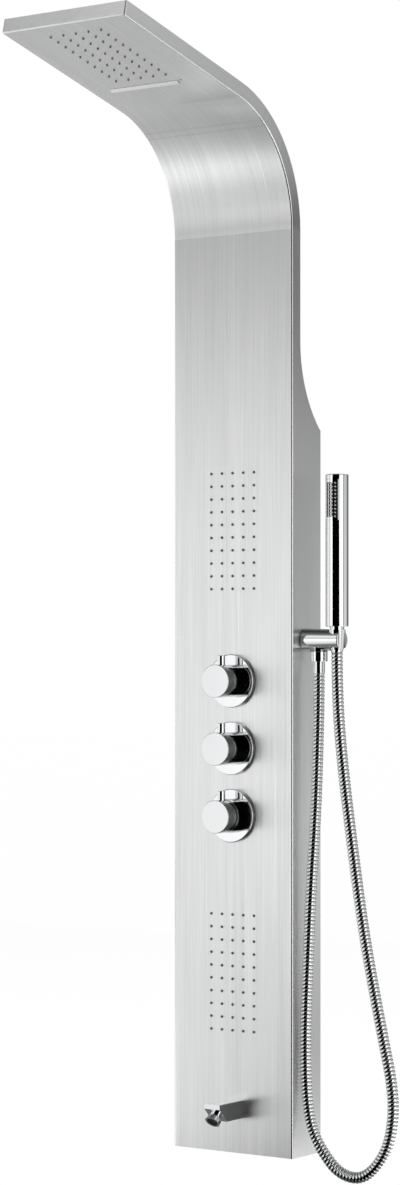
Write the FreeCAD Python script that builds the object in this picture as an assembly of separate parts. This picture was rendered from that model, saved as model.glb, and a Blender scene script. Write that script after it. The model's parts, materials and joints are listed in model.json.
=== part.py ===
"""Shower panel column: a folded steel column with a rain head, body jets, three knobs,
a tub spout and a hand shower on a ribbed hose.

The pieces are drawn with X across the panel, Y = 0 on the front face and growing towards the
wall, and Z = 0 on the lower edge.  Each is then moved to the middle of the wall bolts.
"""
import FreeCAD
import Part
import math
import os

V = FreeCAD.Vector
X_AXIS = V(1, 0, 0)
Y_AXIS = V(0, 1, 0)
Z_AXIS = V(0, 0, 1)

# ---- driving sizes, millimetres and degrees ----
# folded column
panel_width = 200.0
panel_depth = 72.0            # front face to wall, in the lower box
column_thickness = 20.0       # depth of the slim upper column and of the rain head
sheet = 1.5                   # steel sheet
fold_radius = 2.5             # outside radius of the folded edges
bend_radius = 167.0           # front side of the forward bend
bend_angle = 76.5             # turn from vertical to the slope of the rain head
head_length = 271.0           # straight part of the rain head
flare_radius = 167.0          # of the curved rear edge above the lower box

# places up the column, each above the one before it
spout_height = 60.5           # middle of the spout's square section, above the lower edge
lower_jets_above_spout = 191.5
knobs_above_lower_jets = 219.5  # the lowest knob
knob_spacing = 94.25
holder_above_knobs = 57.0     # above the highest knob
upper_jets_above_knobs = 210.0
upper_bolts_above_jets = 95.0
flare_above_bolts = 45.0      # foot of the curved rear edge
slim_below_bend = 153.9       # straight slim column between the curve and the forward bend
lower_bolt_height = 100.0

# clearances
slip = 0.2                    # of a piece that slides into its seat
running = 0.05                # radial, of a shaft that turns in its hole

# nozzles
jet_pitch = 18.0
jet_columns = 5
jet_rows = 10
rain_pitch_across = 20.5
rain_pitch_along = 16.4
rain_columns = 5
rain_rows = 10
rain_first_row = 30.0         # from the front edge of the head
jet_nipple_radius = 1.9
jet_nipple_reach = 1.5        # how far a nozzle stands out of the steel
rain_nipple_radius = 1.6
rain_nipple_reach = 1.6
nozzle_bore_radius = 0.7
mat_thickness = 2.0           # rubber sheet that carries the nozzles
mat_margin = 8.0              # rubber round the outer nozzles
mat_overlap = 0.5             # a nipple's root inside the rubber sheet
nipple_tip_share = 0.75       # of a nipple's radius, at its tip
chamber_gap = 2.0             # between the water boxes and the rear cover
chamber_wall = 2.0
chamber_margin = 12.0         # water box round the outer nozzles
rain_chamber_side_gap = 13.5  # between the rain box and the side of the head

# waterfall outlet
slot_length = 112.0
slot_height = 10.0
slot_before_rain = 26.4       # middle of the slot, from the nearest row of rain nozzles
slot_aside = -11.0            # middle of the slot, from the middle of the head
lip_proud = 0.3               # of the plate that fills the slot
lip_foot_reach = 3.0          # of its inner edge, behind the chamber's wall
lip_foot_thickness = 1.0
bead_proud = 3.0              # highest edge of the sloping bead beside the slits
bead_width = 5.0
slit_count = 14
slit_length = 4.6
slit_height = 2.6
slit_from_edge = 1.0          # from the plate's edge on the side of the bend
vent_radius = 1.3             # small hole in the steel beside the slot
vent_beside_slot = 6.0
waterfall_box_margin = 3.0    # water box beyond the slot's ends and edges
waterfall_box_below = 6.0
waterfall_box_above = 2.0

# knobs
collar_radii = {"rain": 22.6, "jets": 22.6, "temperature": 24.0}
flange_radius = 37.5
flange_thickness = 6.0
collar_length = 15.0
collar_neck_radius = 20.0
knob_groove = 1.0
knob_radius = 23.0
knob_length = 22.0
knob_face = 6.0               # solid front of the knob, before the spindle's hole
knob_round = 0.8
flange_round = 1.5
collar_groove_width = 1.0
collar_groove_depth = 0.8
collar_groove_share = 0.45    # of the collar's length, from the flange
pin_radius = 5.5
pin_reach = 12.8              # above the knob's round side
pin_seat = 5.0
pin_round = 0.6
pin_setback = 6.0             # pin axis in front of the knob's back
boss_radius = 14.0            # valve boss that the flange and collar slip over
boss_setback = 2.0            # boss end behind the collar's front
cartridge_radius = 11.0
spindle_radius = 4.0
spindle_end_gap = 1.0
grub_screw_radius = 2.5
grub_screw_depth = 1.0        # below the knob's round side
grub_socket_depth = 3.0

# mixing valve
valve_front = 14.0            # behind the front face
valve_depth = 34.0
valve_half_width = 22.0
valve_overhang = 32.0         # valve body above and below the outer knob axes
valve_rear_wall = 6.0         # behind the cartridges
channel_radius = 6.0
channel_end_wall = 8.0
port_radius = 8.0
port_length = 12.0
top_port_side = 14.0          # of the two ports on top, from the middle
inlet_block_half_width = 50.0
inlet_block_height = 30.0
inlet_block_setback = 4.0     # behind the valve's front
inlet_half_spacing = 32.0
inlet_thread_radius = 10.48   # G 1/2 outside thread
inlet_thread_length = 15.0
inlet_collar_radius = 13.5
inlet_collar_length = 6.0
inlet_bore_radius = 7.0

# hoses inside the column
inner_hose_radius = 6.0
inner_hose_bore = 4.0
inner_hose_bend = 20.0
upper_hose_bend = 60.0
rain_hose_from_side = 28.0    # from the side of the panel
waterfall_hose_from_end = 8.0  # from the end of the slot
hose_rise = 30.0              # straight up from the valve, before a hose leans aside
hose_lean = 1.5               # rise for each millimetre aside
flare_hose_below = 20.0       # where a hose starts to lean towards the slim column
flare_hose_above = 50.0
upper_jets_port_drop = 50.0   # below the upper knob's axis
handset_port_drop = 20.0
spout_port_drop = 28.0        # below the middle knob's axis
lower_jets_port_rise = 33.5   # above the lower knob's axis
jets_hose_out = 28.0
jets_hose_back = 23.0
jets_hose_lean = 110.0
jets_hose_rise = 50.0
spout_hose_out = 46.0
spout_hose_back = 24.0
spout_hose_low_turn = 44.5    # above the spout's axis
spout_hose_high_turn = 179.5

# tub spout
spout_width = 26.0
spout_rise = 25.0
spout_top_length = 51.0
spout_bottom_length = 32.0
spout_lip = 6.5               # upright part of the end, above the slant
spout_wall = 2.0
spout_end_wall = 3.2          # behind the slanted end, along the bar
spout_corner = 1.5
spout_shank_radius = 10.0
spout_shank_length = 20.0
spout_nut_radius = 16.0
spout_nut_thickness = 7.0
aerator_radius = 8.0
aerator_rim_radius = 10.8
aerator_rim = 5.0
aerator_reach = 12.0          # outer end from the middle of the mitred face
aerator_inset = 6.0
aerator_wall = 2.0
aerator_plate = 2.0           # the pierced plate behind the rim
aerator_recess = 2.5
aerator_hole_radius = 0.8
aerator_rings = {0.0: 1, 2.8: 6, 5.4: 12}   # ring radius and number of holes

# hand shower holder, on the right side
holder_setback = 32.0         # behind the front face
holder_length = 61.5
holder_base_radius = 16.2
holder_end_radius = 14.0
holder_end_round = 2.0
holder_shank_radius = 10.0
holder_shank_length = 20.0
holder_bore_radius = 5.0
holder_nut_radius = 15.0
holder_nut_thickness = 8.0
outlet_from_side = 23.0       # hose outlet
cradle_from_side = 52.5       # axis of the hand shower
cradle_clearance = 0.4
cradle_slot = 17.2
outlet_stub_radius = 9.6
outlet_stub_length = 11.0
outlet_nut_radius = 12.0
outlet_nut_length = 14.0
outlet_nut_round = 0.6

# hand shower
handset_radius = 16.0
handset_wall = 2.5
handset_length = 210.0
handset_floor = 10.0
handset_round = 1.0
end_cap_thickness = 4.0
end_cap_round = 1.5
end_cap_plug = 2.5
cone_below_holder = 13.7      # lower end of the cone below the holder's axis
cone_length = 28.0
cone_groove = 4.2             # between the cone and the stick
cone_bottom_radius = 9.3
cone_top_radius = 12.0
cone_neck_radius = 10.0
cone_stub_length = 12.0
face_half_angle = 43.0
face_height = 56.0
face_from_top = 7.5
face_depth = 2.5
face_round = 1.6              # of its two long outer edges
face_rows = 10
face_columns = 4
face_pitch_up = 5.1
face_pitch_turn = 15.7
face_nipple_radius = 1.35
face_nipple_reach = 1.3
face_nipple_root = 0.6
face_nipple_bore = 0.4
face_window_depth = 4.5

# shower hose
hose_radius = 8.0
hose_valley_radius = 7.2
hose_bore_radius = 5.0
hose_rib_count = 196
hose_plain_end = 6.0
ferrule_radius = 8.3
ferrule_end_below_holder = 46.0
end_ferrule_collar = 3.0
end_ferrule_length = 20.0
end_ferrule_radius = 6.6

# wall hanging
wall_bolt_spacing = 120.0
wall_bolt_hole_radius = 3.3
bracket_side_gap = 18.5       # between the bracket and the side of the panel
bracket_sheet = 2.5
bracket_half_height = 20.0
bracket_reach = 16.0
hook_height = 12.0
rail_sheet = 1.5
rail_gap = 5.0
rail_front_leg = 26.0
rail_rear_leg = 9.0

# lower edge closing tray
tray_rim = 12.0
drain_hole_radius = 3.0
drain_spacing = 120.0

# ---- sizes worked out from them ----
half_width = panel_width / 2
inside_half = half_width - sheet
turn = math.radians(bend_angle)
lower_jets_height = spout_height + lower_jets_above_spout
lowest_knob_height = lower_jets_height + knobs_above_lower_jets
knob_heights = {"rain": lowest_knob_height + 2 * knob_spacing,
                "jets": lowest_knob_height + knob_spacing,
                "temperature": lowest_knob_height}
holder_height = knob_heights["rain"] + holder_above_knobs
upper_jets_height = knob_heights["rain"] + upper_jets_above_knobs
wall_bolt_heights = {"lower": lower_bolt_height, "upper": upper_jets_height + upper_bolts_above_jets}
flare_bottom_height = wall_bolt_heights["upper"] + flare_above_bolts
flare_rise = math.sqrt(flare_radius ** 2 - (flare_radius + column_thickness - panel_depth) ** 2)
flare_top_height = flare_bottom_height + flare_rise
bend_start_height = flare_top_height + slim_below_bend
head_start = V(0, bend_radius * (math.cos(turn) - 1), bend_start_height + bend_radius * math.sin(turn))
chamber_front = sheet + mat_thickness
chamber_back = column_thickness - sheet - chamber_gap
slim_hose_setback = column_thickness / 2
knob_back = flange_thickness + collar_length + knob_groove
knob_front = knob_back + knob_length
spindle_front = knob_front - knob_face
boss_front = flange_thickness + collar_length - boss_setback
cartridge_back = valve_front + valve_depth - valve_rear_wall
valve_setback = valve_front + valve_depth / 2
valve_top = knob_heights["rain"] + valve_overhang
valve_bottom = knob_heights["temperature"] - valve_overhang
handset_port_height = knob_heights["rain"] - handset_port_drop
upper_jets_port_height = knob_heights["rain"] - upper_jets_port_drop
spout_port_height = knob_heights["jets"] - spout_port_drop
lower_jets_port_height = knob_heights["temperature"] + lower_jets_port_rise
outlet_x = half_width + outlet_from_side
cradle_x = half_width + cradle_from_side
cone_bottom_height = holder_height - cone_below_holder
handset_bottom = cone_bottom_height + cone_length + cone_groove
hose_top_height = cone_bottom_height - end_ferrule_collar
ferrule_end_height = holder_height - ferrule_end_below_holder
rain_hose_side = half_width - rain_hose_from_side
rain_middle = head_length - rain_first_row - rain_pitch_along * (rain_rows - 1) / 2
slot_middle = rain_middle - rain_pitch_along * (rain_rows - 1) / 2 - slot_before_rain
slot_low = slot_middle - slot_height / 2
slot_high = slot_middle + slot_height / 2
slot_left = slot_aside - slot_length / 2
slot_right = slot_aside + slot_length / 2
waterfall_hose_side = slot_left + waterfall_hose_from_end
bolt_middle = sum(wall_bolt_heights.values()) / len(wall_bolt_heights)
TO_WALL_MOUNT = V(0, -panel_depth, -bolt_middle)
hose_route = [(outlet_x, holder_setback, ferrule_end_height), (outlet_x, holder_setback, 630),
              (122, 31, 570), (120.5, 28, 480), (115.5, 24, 380), (113, 20, 280), (109.5, 18, 180),
              (110.5, 18, 95), (117, 20, 42), (137, 21.5, 9), (162, 22.5, -17), (195, 23.5, -22.5),
              (222, 24.5, -3), (242.5, 26, 34), (248, 27, 96), (225, 28, 190), (198.5, 29, 310),
              (179, 30, 430), (160, 31, 560), (cradle_x, holder_setback, 650),
              (cradle_x, holder_setback, hose_top_height)]


# ---- helpers ----
def box(x0, x1, y0, y1, z0, z1):
    return Part.makeBox(x1 - x0, y1 - y0, z1 - z0, V(x0, y0, z0))


def rod(start, end, radius):
    """A cylinder from one point to another."""
    axis = end - start
    return Part.makeCylinder(radius, axis.Length, start, axis)


def cone(start, end, start_radius, end_radius):
    axis = end - start
    return Part.makeCone(start_radius, end_radius, axis.Length, start, axis)


def knob_rod(height, front, back, radius):
    """A cylinder on a knob's axis, between two distances in front of the panel."""
    return rod(V(0, -back, height), V(0, -front, height), radius)


def side_sheet(edges, half):
    """A closed outline in the YZ plane, pulled out on both sides of the middle."""
    face = Part.Face(Part.Wire(edges))
    solid = face.extrude(V(2 * half, 0, 0))
    solid.translate(V(-half, 0, 0))
    return solid


def line(y0, z0, y1, z1):
    return Part.makeLine(V(0, y0, z0), V(0, y1, z1))


def arc(centre_y, centre_z, radius, from_turn, to_turn):
    """An arc in the YZ plane; the turn is measured from +Y towards +Z, in radians."""
    points = []
    for angle in (from_turn, (from_turn + to_turn) / 2, to_turn):
        points.append(V(0, centre_y + radius * math.cos(angle), centre_z + radius * math.sin(angle)))
    return Part.Arc(*points).toShape()


def head_point(along, depth):
    """Y and Z of a point of the rain head: along it from the bend, and above its underside."""
    y = head_start.y - math.sin(turn) * along + math.cos(turn) * depth
    z = head_start.z + math.cos(turn) * along + math.sin(turn) * depth
    return y, z


def to_head(shape):
    """Carries a piece drawn on the upright front face, from Z = 0, to the rain head."""
    moved = shape.copy()
    moved.rotate(V(0, 0, 0), X_AXIS, bend_angle)
    moved.translate(head_start)
    return moved


def curve_edges(depth, start_z, end_along):
    """Column edge at one depth behind the front face: up, round the bend and along the head."""
    y_end, z_end = head_point(end_along, depth)
    y_bend, z_bend = head_point(0, depth)
    return [line(depth, start_z, depth, bend_start_height),
            arc(-bend_radius, bend_start_height, bend_radius + depth, 0, turn),
            line(y_bend, z_bend, y_end, z_end)]


def filleted_path(points, radii):
    """Straight runs between points, with a tangent arc at each inner point."""
    edges = []
    lengths = 0.0
    start = points[0]
    for index in range(1, len(points) - 1):
        corner = points[index]
        before = (points[index - 1] - corner).normalize()
        after = (points[index + 1] - corner).normalize()
        half_turn = (math.pi - before.getAngle(after)) / 2
        reach = radii[index - 1] * math.tan(half_turn)
        first = corner + before * reach
        last = corner + after * reach
        middle_direction = (before + after).normalize()
        from_corner = radii[index - 1] * (1 / math.cos(half_turn) - 1)
        edges.append(Part.makeLine(start, first))
        edges.append(Part.Arc(first, corner + middle_direction * from_corner, last).toShape())
        lengths += (first - start).Length + 2 * half_turn * radii[index - 1]
        start = last
    edges.append(Part.makeLine(start, points[-1]))
    lengths += (points[-1] - start).Length
    return Part.Wire(edges), lengths


def disc_at(path, radius):
    """A round section at the start of a path."""
    edge = path.Edges[0]
    start = edge.Vertexes[0].Point
    circle = Part.makeCircle(radius, start, edge.tangentAt(edge.FirstParameter))
    return Part.Wire([circle])


def inner_hose(name, points, radii):
    """A bored hose along its real route inside the column."""
    path, length = filleted_path(points, radii)
    outside = path.makePipeShell([disc_at(path, inner_hose_radius)], True, False)
    bore = path.makePipeShell([disc_at(path, inner_hose_bore)], True, False)
    hose = outside.cut(bore)
    section = math.pi * (inner_hose_radius ** 2 - inner_hose_bore ** 2)
    print("%s length %.0f volume share %.4f" % (name, length, hose.Volume / (section * length)))
    return hose


def grid(columns, rows, across, along, middle):
    """Nozzle places on the front face, as X and Z."""
    places = []
    for row in range(rows):
        for column in range(columns):
            x = (column - (columns - 1) / 2) * across
            z = middle + (row - (rows - 1) / 2) * along
            places.append((x, z))
    return places


def save(name, shape):
    moved = shape.copy()
    moved.translate(TO_WALL_MOUNT)
    solids = moved.Solids
    if len(solids) == 1:
        moved = solids[0]
    moved.exportStep("parts/%s.step" % name)
    print("%-22s solids %d valid %s volume %.0f" % (name, len(solids), moved.isValid(), moved.Volume))


jet_grids = {
    "upper": grid(jet_columns, jet_rows, jet_pitch, jet_pitch, upper_jets_height),
    "lower": grid(jet_columns, jet_rows, jet_pitch, jet_pitch, lower_jets_height),
}
rain_grid = grid(rain_columns, rain_rows, rain_pitch_across, rain_pitch_along, rain_middle)


# ---- folded column ----
def column_outside():
    """The whole outside of the column, solid, with its folded edges rounded."""
    y_front, z_front = head_point(head_length, 0)
    y_back, z_back = head_point(head_length, column_thickness)
    back = curve_edges(column_thickness, flare_top_height, head_length)
    flare_half = math.asin(flare_rise / flare_radius)
    flare_centre = column_thickness + flare_radius
    flare = arc(flare_centre, flare_top_height, flare_radius, math.pi, math.pi + flare_half)
    edges = curve_edges(0, 0, head_length) + [line(y_front, z_front, y_back, z_back)] + back
    edges += [flare, line(panel_depth, flare_bottom_height, panel_depth, 0), line(panel_depth, 0, 0, 0)]
    solid = side_sheet(Part.__sortEdges__(edges), half_width)
    return solid.makeFillet(fold_radius, folded_edges(solid, half_width, 0, head_length))


def folded_edges(solid, half, depth, end_along):
    """The two long edges of the front sheet, and those of the band across the head's end."""
    y_front, z_front = head_point(end_along, depth)
    chosen = []
    for edge in solid.Edges:
        middle = edge.valueAt((edge.FirstParameter + edge.LastParameter) / 2)
        on_side = abs(abs(middle.x) - half) < 0.01
        low = on_side and middle.z < bend_start_height and abs(middle.y - depth) < 0.01
        from_bend = math.hypot(middle.y + bend_radius, middle.z - bend_start_height)
        along, above = head_place(middle)
        high = middle.z >= bend_start_height and middle.y < depth + 0.01 and along < 0
        bent = on_side and high and abs(from_bend - bend_radius - depth) < 0.01
        straight = on_side and along > 0.01 and abs(above - depth) < 0.01
        band = on_side and abs(along - end_along) < 0.01
        across = abs(middle.y - y_front) < 0.01 and abs(middle.z - z_front) < 0.01
        if low or bent or straight or band or across:
            chosen.append(edge)
    return chosen


def head_place(point):
    """Along the head from the bend, and above its underside."""
    y = point.y - head_start.y
    z = point.z - head_start.z
    return -math.sin(turn) * y + math.cos(turn) * z, math.cos(turn) * y + math.sin(turn) * z


def column_hollow():
    """The space inside the sheet, open at the back and below."""
    beyond = 12.0
    end = head_length - sheet
    y_front, z_front = head_point(end, sheet)
    y_back, z_back = head_point(end, column_thickness + beyond)
    back_start = flare_top_height + beyond
    edges = curve_edges(sheet, -beyond, end) + [line(y_front, z_front, y_back, z_back)]
    edges += curve_edges(column_thickness + beyond, back_start, end)
    edges += [line(column_thickness + beyond, back_start, panel_depth + beyond, back_start),
              line(panel_depth + beyond, back_start, panel_depth + beyond, -beyond),
              line(panel_depth + beyond, -beyond, sheet, -beyond)]
    solid = side_sheet(Part.__sortEdges__(edges), inside_half)
    return solid.makeFillet(fold_radius - sheet, folded_edges(solid, inside_half, sheet, end))


def front_shell():
    """The folded sheet with every hole in it."""
    shell = column_outside().cut(column_hollow())
    holes = []
    for side in jet_grids:
        for x, z in jet_grids[side]:
            holes.append(rod(V(x, -1, z), V(x, sheet + 1, z), jet_nipple_radius + slip))
    for x, z in rain_grid:
        holes.append(to_head(rod(V(x, -1, z), V(x, sheet + 1, z), rain_nipple_radius + slip)))
    for height in knob_heights.values():
        holes.append(knob_rod(height, 1, -sheet - 1, boss_radius + slip))
    holes.append(to_head(box(slot_left - slip, slot_right + slip, -1, sheet + 1,
                             slot_low - slip, slot_high + slip)))
    vent_x = slot_right + vent_beside_slot
    holes.append(to_head(rod(V(vent_x, -1, slot_high), V(vent_x, sheet + 1, slot_high), vent_radius)))
    holes.append(rod(V(0, -1, spout_height), V(0, sheet + 1, spout_height), spout_shank_radius + slip))
    holder_hole_start = V(inside_half - 1, holder_setback, holder_height)
    holder_hole_end = V(half_width + 1, holder_setback, holder_height)
    holes.append(rod(holder_hole_start, holder_hole_end, holder_shank_radius + slip))
    return shell.cut(Part.makeCompound(holes))


def rear_cover():
    """The sheet that closes the slim column, its flare and the top of the head."""
    outer = curve_edges(column_thickness, flare_top_height, head_length - sheet - slip)
    inner = curve_edges(column_thickness - sheet, flare_top_height, head_length - sheet - slip)
    flare_centre = column_thickness + flare_radius
    outer_half = math.asin(flare_rise / flare_radius)
    inner_half = math.asin(flare_rise / (flare_radius + sheet))
    outer_flare = arc(flare_centre, flare_top_height, flare_radius, math.pi, math.pi + outer_half)
    inner_flare = arc(flare_centre, flare_top_height, flare_radius + sheet, math.pi, math.pi + inner_half)
    inner_foot = flare_centre - (flare_radius + sheet) * math.cos(inner_half)
    top_outer = outer[2].Vertexes[1].Point
    top_inner = inner[2].Vertexes[1].Point
    ends = [line(panel_depth, flare_bottom_height, inner_foot, flare_bottom_height),
            Part.makeLine(top_outer, top_inner)]
    edges = outer + inner + [outer_flare, inner_flare] + ends
    cover = side_sheet(Part.__sortEdges__(edges), inside_half - slip)
    corners = []
    for edge in cover.Edges:
        middle = edge.valueAt((edge.FirstParameter + edge.LastParameter) / 2)
        at_end = abs(head_place(middle)[0] - head_length + sheet + slip) < 0.01
        if at_end and abs(abs(middle.x) - inside_half + slip) < 0.01:
            corners.append(edge)
    return cover.makeFillet(fold_radius - sheet, corners)


def bottom_tray():
    """A shallow tray that closes the lower edge, with two drain holes."""
    outside = box(-inside_half, inside_half, sheet, panel_depth - slip, 0, tray_rim)
    inside = box(-inside_half + sheet, inside_half - sheet, 2 * sheet, panel_depth + 1, sheet, tray_rim + 1)
    tray = outside.cut(inside)
    corner = fold_radius - sheet
    front_edges = []
    for edge in tray.Edges:
        middle = edge.valueAt((edge.FirstParameter + edge.LastParameter) / 2)
        upright = abs(edge.tangentAt(edge.FirstParameter).z) > 0.99
        if upright and abs(abs(middle.x) - inside_half) < 0.01 and abs(middle.y - sheet) < 0.01:
            front_edges.append(edge)
    tray = tray.makeFillet(corner, front_edges)
    for side in (-1, 1):
        x = side * drain_spacing / 2
        y = panel_depth / 2
        tray = tray.cut(rod(V(x, y, -1), V(x, y, sheet + 1), drain_hole_radius))
    return tray


# ---- wall hanging ----
def wall_bracket(bolt_height):
    """A bolted strip with a shelf and an upturned hook along its top."""
    half = inside_half - bracket_side_gap
    front = panel_depth - bracket_reach
    top = bolt_height + bracket_half_height
    strip = box(-half, half, panel_depth - bracket_sheet, panel_depth, bolt_height - bracket_half_height, top)
    shelf = box(-half, half, front, panel_depth, top - bracket_sheet, top)
    hook = box(-half, half, front, front + bracket_sheet, top - bracket_sheet, top + hook_height)
    bracket = strip.fuse([shelf, hook]).removeSplitter()
    for side in (-1, 1):
        x = side * wall_bolt_spacing / 2
        hole = rod(V(x, panel_depth + 1, bolt_height), V(x, panel_depth - 2 * bracket_sheet, bolt_height),
                   wall_bolt_hole_radius)
        bracket = bracket.cut(hole)
    return bracket


def hanger_rail(bolt_height):
    """An upside-down channel between the side flanges that drops over the bracket's hook."""
    hook_middle = panel_depth - bracket_reach + bracket_sheet / 2
    front = hook_middle - rail_gap / 2 - rail_sheet
    back = hook_middle + rail_gap / 2 + rail_sheet
    seat = bolt_height + bracket_half_height + hook_height
    web = box(-inside_half, inside_half, front, back, seat, seat + rail_sheet)
    front_leg = box(-inside_half, inside_half, front, front + rail_sheet, seat - rail_front_leg, seat)
    rear_leg = box(-inside_half, inside_half, back - rail_sheet, back, seat - rail_rear_leg, seat)
    return web.fuse([front_leg, rear_leg]).removeSplitter()


# ---- nozzles and water boxes, drawn on the upright front face ----
def nozzle_mat(places, nipple_radius, nipple_reach):
    """A rubber sheet behind the steel, with a bored nipple through each hole."""
    xs = [place[0] for place in places]
    zs = [place[1] for place in places]
    mat = box(min(xs) - mat_margin, max(xs) + mat_margin, sheet, chamber_front,
              min(zs) - mat_margin, max(zs) + mat_margin)
    nipples = []
    bores = []
    for x, z in places:
        tip_end = V(x, -nipple_reach, z)
        tip = cone(V(x, 0, z), tip_end, nipple_radius, nipple_radius * nipple_tip_share)
        stem = rod(V(x, sheet + mat_overlap, z), V(x, 0, z), nipple_radius)
        nipples.append(stem.fuse(tip))
        bores.append(rod(V(x, chamber_front + 1, z), V(x, -nipple_reach - 1, z), nozzle_bore_radius))
    return mat.fuse(nipples).cut(Part.makeCompound(bores))


def water_box(x0, x1, z0, z1):
    """A box that is open towards the steel."""
    outside = box(x0, x1, chamber_front, chamber_back, z0, z1)
    inside = box(x0 + chamber_wall, x1 - chamber_wall, chamber_front - 1, chamber_back - chamber_wall,
                 z0 + chamber_wall, z1 - chamber_wall)
    return outside.cut(inside)


def spigot(box_shape, start, end):
    """Adds a bored hose spigot to a water box."""
    direction = (end - start).normalize()
    outside = rod(start, end, inner_hose_radius)
    bore = rod(start - direction * (chamber_wall + 1), end + direction, inner_hose_bore)
    return box_shape.fuse(outside).cut(bore)


def grid_box(places, half):
    """A water box of a given half width, as long as its grid of nozzles needs."""
    zs = [place[1] for place in places]
    return water_box(-half, half, min(zs) - chamber_margin, max(zs) + chamber_margin)


def jet_manifold(places, middle):
    body = grid_box(places, jet_pitch * (jet_columns - 1) / 2 + chamber_margin)
    return spigot(body, V(0, chamber_back, middle), V(0, chamber_back + port_length, middle))


rain_box_start = rain_middle - rain_pitch_along * (rain_rows - 1) / 2 - chamber_margin
waterfall_box_start = slot_low - waterfall_box_below
waterfall_box_end = slot_high + waterfall_box_above


def rain_chamber():
    body = grid_box(rain_grid, inside_half - rain_chamber_side_gap)
    start = V(rain_hose_side, slim_hose_setback, rain_box_start)
    return to_head(spigot(body, start, start - Z_AXIS * port_length))


def waterfall_chamber():
    """A narrow water box over the slot, closed towards the steel except at the slot."""
    body = box(slot_left - waterfall_box_margin, slot_right + waterfall_box_margin, sheet, chamber_back,
               waterfall_box_start, waterfall_box_end)
    hollow = box(slot_left, slot_right, sheet + chamber_wall, chamber_back - chamber_wall,
                 waterfall_box_start + chamber_wall, waterfall_box_end - chamber_wall)
    mouth = box(slot_left, slot_right, 0, sheet + chamber_wall + 1, slot_low, slot_high)
    start = V(waterfall_hose_side, slim_hose_setback, waterfall_box_start)
    return to_head(spigot(body.cut([hollow, mouth]), start, start - Z_AXIS * port_length))


def waterfall_lip():
    """The plate that fills the slot: slits for the water, a sloping bead and a hooked inner edge."""
    left = slot_left + slip
    right = slot_right - slip
    low = slot_low + slip
    high = slot_high - slip
    hook = sheet + chamber_wall
    inner_end = hook + lip_foot_thickness
    plate = box(left, right, -lip_proud, inner_end, low, high)
    foot = box(left, right, hook, inner_end, low - lip_foot_reach, low)
    corners = [V(left, 0, high - bead_width), V(left, -bead_proud, high - bead_width),
               V(left, -lip_proud, high), V(left, 0, high), V(left, 0, high - bead_width)]
    bead = Part.Face(Part.makePolygon(corners)).extrude(V(right - left, 0, 0))
    pitch = (right - left) / slit_count
    slits = []
    for index in range(slit_count):
        x = left + (index + 0.5) * pitch
        slits.append(box(x - slit_length / 2, x + slit_length / 2, -1, inner_end + 1,
                         low + slit_from_edge, low + slit_from_edge + slit_height))
    return to_head(plate.fuse([foot, bead]).removeSplitter().cut(Part.makeCompound(slits)))


# ---- mixing valve ----
def mixing_valve():
    """The brass body behind the knobs, with bosses, cartridge bores, channel and ports."""
    low = V(0, valve_setback, valve_bottom)
    high = V(0, valve_setback, valve_top)
    body = box(-valve_half_width, valve_half_width, valve_front, valve_front + valve_depth,
               valve_bottom, valve_top)
    inlet_block = box(-inlet_block_half_width, inlet_block_half_width, valve_front + inlet_block_setback,
                      valve_front + valve_depth, valve_bottom, valve_bottom + inlet_block_height)
    added = [inlet_block]
    removed = [rod(low + Z_AXIS * channel_end_wall, high - Z_AXIS * channel_end_wall, channel_radius)]
    for height in knob_heights.values():
        added.append(knob_rod(height, boss_front, -valve_front - 1, boss_radius))
        removed.append(knob_rod(height, boss_front + 1, -cartridge_back, cartridge_radius + slip))
    for start, direction in valve_ports():
        added.append(rod(start, start + direction * port_length, port_radius))
        reach = valve_half_width
        outer_end = start + direction * (port_length + 1)
        removed.append(rod(start - direction * reach, outer_end, inner_hose_bore))
    cross = valve_bottom + inlet_block_height / 2
    cross_start = V(-inlet_half_spacing, valve_setback, cross)
    removed.append(rod(cross_start, cross_start + X_AXIS * 2 * inlet_half_spacing, inlet_bore_radius))
    for side in (-1, 1):
        foot = V(side * inlet_half_spacing, valve_setback, valve_bottom)
        removed.append(rod(foot - Z_AXIS, foot + Z_AXIS * inlet_block_height / 2, inlet_bore_radius))
    return body.fuse(added).cut(Part.makeCompound(removed))


def valve_ports():
    """Start point and direction of each hose port of the valve."""
    left = V(-valve_half_width, valve_setback, 0)
    right = V(valve_half_width, valve_setback, 0)
    return [(V(-top_port_side, valve_setback, valve_top), Z_AXIS),
            (V(top_port_side, valve_setback, valve_top), Z_AXIS),
            (left + Z_AXIS * upper_jets_port_height, -X_AXIS),
            (left + Z_AXIS * spout_port_height, -X_AXIS),
            (left + Z_AXIS * lower_jets_port_height, -X_AXIS),
            (right + Z_AXIS * handset_port_height, X_AXIS)]


def inlet(side):
    """A supply nipple with a collar and a half-inch thread, under the valve."""
    top = V(side * inlet_half_spacing, valve_setback, valve_bottom)
    under_collar = top - Z_AXIS * inlet_collar_length
    end = under_collar - Z_AXIS * inlet_thread_length
    nipple = rod(top, under_collar, inlet_collar_radius).fuse(rod(under_collar, end, inlet_thread_radius))
    return nipple.cut(rod(top + Z_AXIS, end - Z_AXIS, inlet_bore_radius))


# ---- knobs ----
def knob_flange(height):
    disc = knob_rod(height, flange_thickness, 0, flange_radius)
    rim = [edge for edge in disc.Edges if abs(edge.BoundBox.YMin + flange_thickness) < 0.01]
    disc = disc.makeFillet(flange_round, rim)
    return disc.cut(knob_rod(height, flange_thickness + 1, -1, boss_radius + slip))


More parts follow.
